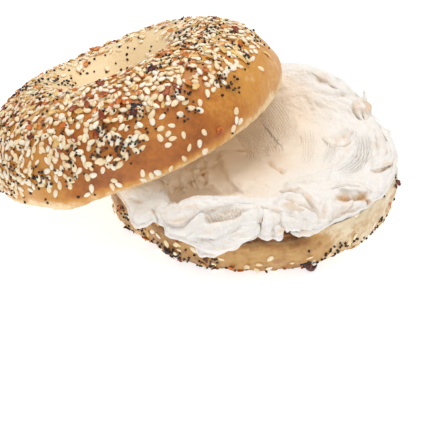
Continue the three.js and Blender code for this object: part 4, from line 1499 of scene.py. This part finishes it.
flank = radius_of(bottom_faces[0]) > BOTTOM["foot"]
height = bottom_faces[0][:, 2]
turn_at = turn_of(bottom_faces[0])
low = flank * (1 - smooth(height, 1.5, 7)) * smooth(height, 0.2, 1.2)
middle = flank * (1 - smooth(height, 6, 12)) * smooth(height, 1, 3)
clumps = bumps(bottom_faces[0], 8, 41.0)
ends = 0.3 + 0.9 * stretch(turn_at, 190, 240, 12) + 0.35 * stretch(turn_at, 296, 372, 10)
poppy_cover = (low + 0.3 * middle * ends + 0.03 * flank) * np.clip(0.1 + 3.4 * clumps, 0.02, None)
sesame_cover = 0.7 * low + 0.35 * middle * ends + 0.02 * flank
sesame_cover *= np.clip(0.8 - 1.5 * clumps, 0.05, None)
single = faces_seen(bottom_tree, BOTTOM_SESAME_SEEN)
picks = np.concatenate([single, chosen(rng, bottom_faces, sesame_cover, *BOTTOM_GRAINS["sesame"])])
tones = rng.uniform(-0.8, 0.9, len(picks))
bottom_sesame = strew("bottom_sesame", SESAME, rng, bottom_faces, picks, 0, (0.75, 1.05), 0.1, 0.15, tones)

near_cluster = clustered(bottom_faces[0], bottom_tree, BOTTOM_CLUSTERS, 1.7)
heaped = chosen(rng, bottom_faces, near_cluster * flank, *BOTTOM_GRAINS["clustered_poppy"])
more_right = poppy_cover * (turn_at > 300) + 0.4 * poppy_cover
loose = chosen(rng, bottom_faces, more_right, *BOTTOM_GRAINS["poppy"])
picks = np.concatenate([faces_seen(bottom_tree, BOTTOM_POPPY_SEEN), heaped, loose])
tones = rng.uniform(0, 1, len(picks))
bottom_poppy = strew("bottom_poppy", POPPY, rng, bottom_faces, picks, 0, (0.8, 1.1), 0.2, 0.4, tones)

single, single_tones = chips_seen(bottom_tree, BOTTOM_FLAKES_SEEN)
loose = chosen(rng, bottom_faces, low, *BOTTOM_GRAINS["onion"])
picks = np.concatenate([single, loose])
tones = np.concatenate([single_tones, rng.uniform(0.05, 0.95, len(loose))])
bottom_onion = strew("bottom_onion", ONION, rng, bottom_faces, picks, 0, (0.5, 0.95), 0.25, 0.25, tones)

# %% [markdown]
# Finishes
#
# Baked crust is golden brown and slightly glossy, paler where the halves touched and down in the
# hole. On the top half the crown is painted paler as painted light, and the low front flank darker
# as painted shade. The crumb is pale and matt, with painted shade in its opened bubbles; where the
# crust tore it is toasted, and that colour is also painted shade in the gap under the cream cheese.
# Cream cheese is nearly white and a little translucent, with a warm beige painted as shade near the
# top half and in its creases, and tan where bread shows through and as painted shade in pits and
# under folds. Each finish reads the numbers kept on its mesh, so it needs no map and no image, and
# noise in the shader adds only what is too fine for the mesh.

# %% Node maths as expressions
COLOURS = {  # as they are seen: red, green and blue from 0 to 255
    "top_pale": (246, 219, 172), "top_golden": (214, 150, 64), "top_brown": (188, 111, 38),
    "top_dark": (146, 80, 28), "bottom_pale": (234, 217, 184), "bottom_golden": (199, 155, 92),
    "bottom_brown": (165, 114, 54), "bottom_dark": (112, 70, 32), "crumb": (245, 220, 178),
    "pore_shade": (216, 174, 118), "toasted": (156, 106, 60), "toasted_dark": (112, 70, 34),
    "cream": (249, 244, 238), "cream_light": (253, 251, 248), "cream_thin": (251, 233, 212),
    "shade_in_creases": (239, 220, 199), "bread": (230, 190, 132), "bread_dark": (184, 132, 76),
    "hull": (250, 227, 184), "hull_light": (255, 249, 231), "hull_toasted": (210, 170, 114),
    "painted_rim_shade": (212, 168, 108), "poppy": (34, 27, 24), "poppy_worn": (80, 70, 68),
    "onion_burnt": (44, 28, 32), "onion_brown": (150, 64, 30), "onion_amber": (222, 122, 44),
    "onion_pale": (240, 200, 126), "garlic": (222, 168, 90), "garlic_pale": (244, 226, 180),
}


def paint(name):
    """A colour as it is seen, as a renderer's colour."""
    seen = [channel / 255 for channel in COLOURS[name]]
    return tuple(c / 12.92 if c < 0.04045 else ((c + 0.055) / 1.055) ** 2.4 for c in seen) + (1,)


class Wire:
    """A value on its way through a finish. Sums and products of wires add the nodes for them."""

    def __init__(self, tree, socket):
        self.tree, self.socket = tree, socket

    def node(self, kind, settings=None, output=0, **values):
        made = self.tree.nodes.new("ShaderNode" + kind)
        for key, value in (settings or {}).items():
            setattr(made, key, value)
        for key, value in values.items():
            place = int(key[1:]) if key[1:].isdigit() else key.replace("_", " ")
            if isinstance(value, Wire):
                self.tree.links.new(value.socket, made.inputs[place])
            else:
                made.inputs[place].default_value = value
        return Wire(self.tree, made.outputs[output])

    def math(self, operation, first, second=0.0):
        return self.node("Math", {"operation": operation}, _0=first, _1=second)

    def __add__(self, other):
        return self.math("ADD", self, other)

    def __mul__(self, other):
        return self.math("MULTIPLY", self, other)

    def __sub__(self, other):
        return self.math("SUBTRACT", self, other)

    def __rsub__(self, other):
        return self.math("SUBTRACT", other, self)

    __radd__, __rmul__ = __add__, __mul__

    def between(self, low, high):
        """0 below the one value, 1 above the other, and soft in between."""
        soft = {"interpolation_type": "SMOOTHSTEP"}
        return self.node("MapRange", soft, Value=self, From_Min=low, From_Max=high)

    def blend(self, first, second):
        """The first colour where this is 0, the second where it is 1."""
        return self.node("Mix", {"data_type": "RGBA"}, 2, _0=self, _6=first, _7=second)


class Finish:
    """A material, with the values that its nodes can read."""

    def __init__(self, name, **constants):
        self.material = bpy.data.materials.new(name)
        self.material.use_nodes = True
        self.tree = self.material.node_tree
        self.shader = self.tree.nodes["Principled BSDF"]
        self.start = Wire(self.tree, None)
        for key, value in constants.items():
            self.shader.inputs[key.replace("_", " ")].default_value = value

    def kept(self, name):
        return self.start.node("Attribute", {"attribute_name": name}, "Fac")

    def noise(self, size, detail=2.0, rough=0.5):
        """Cloudy values round 0.5, with clouds of that size in millimetres."""
        place = self.start.node("TexCoord", None, "Object")
        cloud = {"Vector": place, "Scale": 1 / (size * MM), "Detail": detail, "Roughness": rough}
        return self.start.node("TexNoise", **cloud)

    def feed(self, **wires):
        for key, wire in wires.items():
            self.tree.links.new(wire.socket, self.shader.inputs[key.replace("_", " ")])

    def bump(self, height, strength, distance):
        relief = {"Height": height, "Strength": strength, "Distance": distance * MM}
        self.feed(Normal=self.start.node("Bump", **relief))


print("a golden crust is", [round(channel, 2) for channel in paint("top_golden")])


# %% Crust and crumb
def crust_finish(half, uneven):
    """Baked crust from pale to brown, with crumb where it is cut."""
    crust = Finish(half + "_crust", Coat_Weight=0.12, Coat_Roughness=0.35, Specular_IOR_Level=0.45)
    clouds = (crust.noise(14, 3) - 0.5) * uneven + (crust.noise(4.5, 3) - 0.5) * (uneven - 0.3)
    # the kept value holds the bake and painted light: a paler crown and a darker low front flank on the top
    # half
    baked = crust.kept("bake") + clouds + (crust.noise(1.6, 4, 0.65) - 0.5) * 0.5
    skin = baked.between(0.1, 0.5).blend(paint(half + "_pale"), paint(half + "_golden"))
    skin = baked.between(0.5, 0.85).blend(skin, paint(half + "_brown"))
    skin = baked.between(0.78, 1.15).blend(skin, paint(half + "_dark"))
    crumb = crust.kept("crumb")
    # painted shade: the opened bubbles are painted darker the deeper they are
    open_crumb = crust.kept("pit").between(0.1, 0.75).blend(paint("crumb"), paint("pore_shade"))
    # toasted crumb where the crust tore, painted dark enough to be the shade in the gap under the cream
    # cheese as well
    toasted = crust.noise(1.8, 3).between(0.35, 0.65).blend(paint("toasted"), paint("toasted_dark"))
    open_crumb = crust.kept("torn").blend(open_crumb, toasted)
    crumb = (crumb + crust.kept("torn")).between(0, 1)
    crust.feed(Base_Color=crumb.blend(skin, open_crumb))
    crust.feed(Roughness=crumb * 0.42 + crust.noise(5) * 0.22 + 0.32)
    crust.bump(crust.noise(0.9, 3) + crust.noise(2.6, 4, 0.6) * 0.8, 0.6, 0.3)
    return crust.material


top_skin, bottom_skin = crust_finish("top", 0.6), crust_finish("bottom", 0.8)

# more or less baked, from and to an azimuth, with a soft end
TOP_BAKED = [(0.16, 255, 318, 20), (-0.12, 330, 375, 18), (-0.05, 185, 240, 15)]
BOTTOM_BAKED = [(0.18, 190, 238, 12), (0.17, 240, 290, 20), (-0.2, 312, 380, 18)]


def baked_by(start, table, azimuth):
    for amount, *span in table:
        start = start + amount * stretch(azimuth, *span)
    return start


azimuth, over = around_ring(top_local)
height = top_local[:, 2]
bake = baked_by(0.62, TOP_BAKED, azimuth)
far_side = stretch(azimuth, 55, 190, 20)
paler = smooth(over, 84 - 30 * far_side, 104 - 20 * far_side)
mottled = 0.28 * bumps(top_local, 6, 91.0) + 0.22 * bumps(top_local, 2.4, 93.0)
bake = bake * (1 - paler) + (0.16 - 0.1 * far_side + mottled) * paler
# painted shade: the low front flank, turned away from the overhead light, is painted darker
bake += 0.15 * stretch(azimuth, 262, 300, 15) * (1 - smooth(height, 7, 17))
less_low = 0.13 * stretch(azimuth, 185, 248, 12) * (1 - smooth(height, 5, 13))
# painted light: the dome is painted paler from halfway up towards its crest, where the overhead light falls
bake -= less_low + 0.19 * smooth(over, 44, 64)
bake *= 0.3 + 0.7 * smooth(height + 1.1 * bumps(top_local, 4, 57.0), 0.5, 4.2)
mark(top, "bake", bake)
mark(top, "crumb", on_face)
mark(top, "pit", pits)

bottom_points = points_of(bottom)
azimuth, height, radius = turn_of(bottom_points), bottom_points[:, 2], radius_of(bottom_points)
bake = baked_by(0.46, BOTTOM_BAKED, azimuth)
low = 0.25 * (1 - smooth(height, 0, 4))
bake += low - 0.3 * smooth(height, 13, 16.5) * stretch(azimuth, 292, 420, 8)
near_cut = stretch(azimuth, 258, 290, 8) + 0.8 * stretch(azimuth, 200, 240, 8)
bake += 0.3 * smooth(height, 11, 15) * near_cut
bake = np.where(radius < BOTTOM["foot_inner"] - 1, 0.15, bake)
mark(bottom, "bake", bake)
mark(bottom, "crumb", face_up)
mark(bottom, "pit", bottom_pits)
# the outer ring of the cut face takes the toasted colour, as painted shade in the gap where the cream
# cheese stops short of the rim
mark(bottom, "torn", np.maximum(torn, face_up * smooth(radius, 44, 48)))
print("baked from 0 to 1, on average:", round(float(bake.mean()), 2))

# %% Cream cheese, seeds and floor
white = Finish("cream_cheese", Subsurface_Weight=0.12, Subsurface_Scale=0.0012, Specular_IOR_Level=0.35)
white.shader.inputs["Subsurface Radius"].default_value = (1.0, 0.7, 0.45)
fresh = white.noise(9, 3).blend(paint("cream"), paint("cream_light"))
# painted shade: a warm beige near the top half
thinly = (white.kept("thin") + (white.noise(6, 4) - 0.5) * 0.3).between(0, 1)
thinned = thinly.blend(fresh, paint("cream_thin"))
# painted shade: beige in the creases
crease_shaded = white.kept("hollow").between(0.05, 0.65).blend(thinned, paint("shade_in_creases"))
# tan where bread and crumbs show through, and painted shade in creases, pits and under folds
crusty = (white.noise(1.3, 4, 0.7) + white.kept("brown") * 0.35).between(0.5, 0.85)
bread = crusty.blend(paint("bread"), paint("bread_dark"))
white.feed(Base_Color=white.kept("brown").between(0.05, 0.95).blend(crease_shaded, bread))
white.feed(Roughness=white.noise(3) * 0.2 + 0.36)
lines = white.start.math("COSINE", white.kept("groove") * math.tau) * white.kept("grooved")
torn_off = white.start.math("ABSOLUTE", white.noise(2.0, 5, 0.6) - 0.5)
white.bump(torn_off * 1.7 + white.noise(0.7, 3) * 0.25 + lines * 0.8, 1.0, 0.5)

seedy = {"Subsurface_Weight": 0.1, "Subsurface_Scale": 0.0008}
sesame = Finish("sesame", Specular_IOR_Level=0.45, Roughness=0.45, **seedy)
paler = (sesame.kept("tone") + (sesame.noise(1.5) - 0.5) * 0.4).between(0, 1.1)
hull = paler.blend(paint("hull"), paint("hull_light"))
hull = sesame.kept("tone").between(-0.8, -0.05).blend(paint("hull_toasted"), hull)
# painted shade: each hull is painted darker towards its thin rim
sesame.feed(Base_Color=(sesame.kept("rim").between(0.8, 1.02) * 0.55).blend(hull, paint("painted_rim_shade")))
poppy = Finish("poppy", Roughness=0.55, Specular_IOR_Level=0.3)
poppy.feed(Base_Color=poppy.kept("tone").blend(paint("poppy"), paint("poppy_worn")))
onion = Finish("onion", Roughness=0.4, Specular_IOR_Level=0.5)
burnt = onion.kept("tone") + (onion.noise(1.6, 3) - 0.5) * 0.5
dark = burnt.between(-0.1, 0.24).blend(paint("onion_burnt"), paint("onion_brown"))
amber = burnt.between(0.3, 0.5).blend(dark, paint("onion_amber"))
onion.feed(Base_Color=burnt.between(0.6, 0.85).blend(amber, paint("onion_pale")))
garlic = Finish("garlic", Roughness=0.5, **seedy)
paler = garlic.kept("tone") + (garlic.noise(1.4) - 0.5) * 0.4
garlic.feed(Base_Color=paler.blend(paint("garlic"), paint("garlic_pale")))
ground = Finish("white_table", Base_Color=(0.58, 0.6, 0.63, 1), Roughness=0.9, Specular_IOR_Level=0.1)
ground.shader.inputs["Emission Color"].default_value = (0.98, 0.99, 1, 1)
ground.shader.inputs["Emission Strength"].default_value = 0.74
floor.data.materials.append(ground.material)
print("finishes", sorted(material.name for material in bpy.data.materials))


# %% [markdown]
# Into the frame
#
# Every piece was made round the bottom half's base in millimetres. Here it moves to its place in
# metres, rides on the one body, and stands for its packed solid.

# %% Place the pieces
def placed(mesh, material, node):
    mesh.transform(Matrix.Scale(MM, 4) @ Matrix.Translation(BASE))
    mesh.polygons.foreach_set("use_smooth", [True] * len(mesh.polygons))
    mesh.materials.append(material)
    piece = bpy.data.objects.new(mesh.name, mesh)
    bpy.context.scene.collection.objects.link(piece)
    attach(piece, "root")
    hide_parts(node)
    return piece


placed(bottom, bottom_skin, "bottom_half")
placed(top, top_skin, "top_half")
placed(cream_mesh, white.material, "cream_cheese")
placed(cream_folds, white.material, "cream_cheese")
SPRINKLED = {
    "top_half": [
        (top_sesame, sesame), (top_poppy, poppy), (top_onion, onion), (top_onion_strips, onion),
        (top_garlic, garlic),
    ],
    "bottom_half": [
        (bottom_sesame, sesame), (bottom_poppy, poppy), (bottom_onion, onion),
        (bottom_onion_strips, onion),
    ],
}
for node, pieces in SPRINKLED.items():
    for mesh, finish in pieces:
        placed(mesh, finish.material, node)
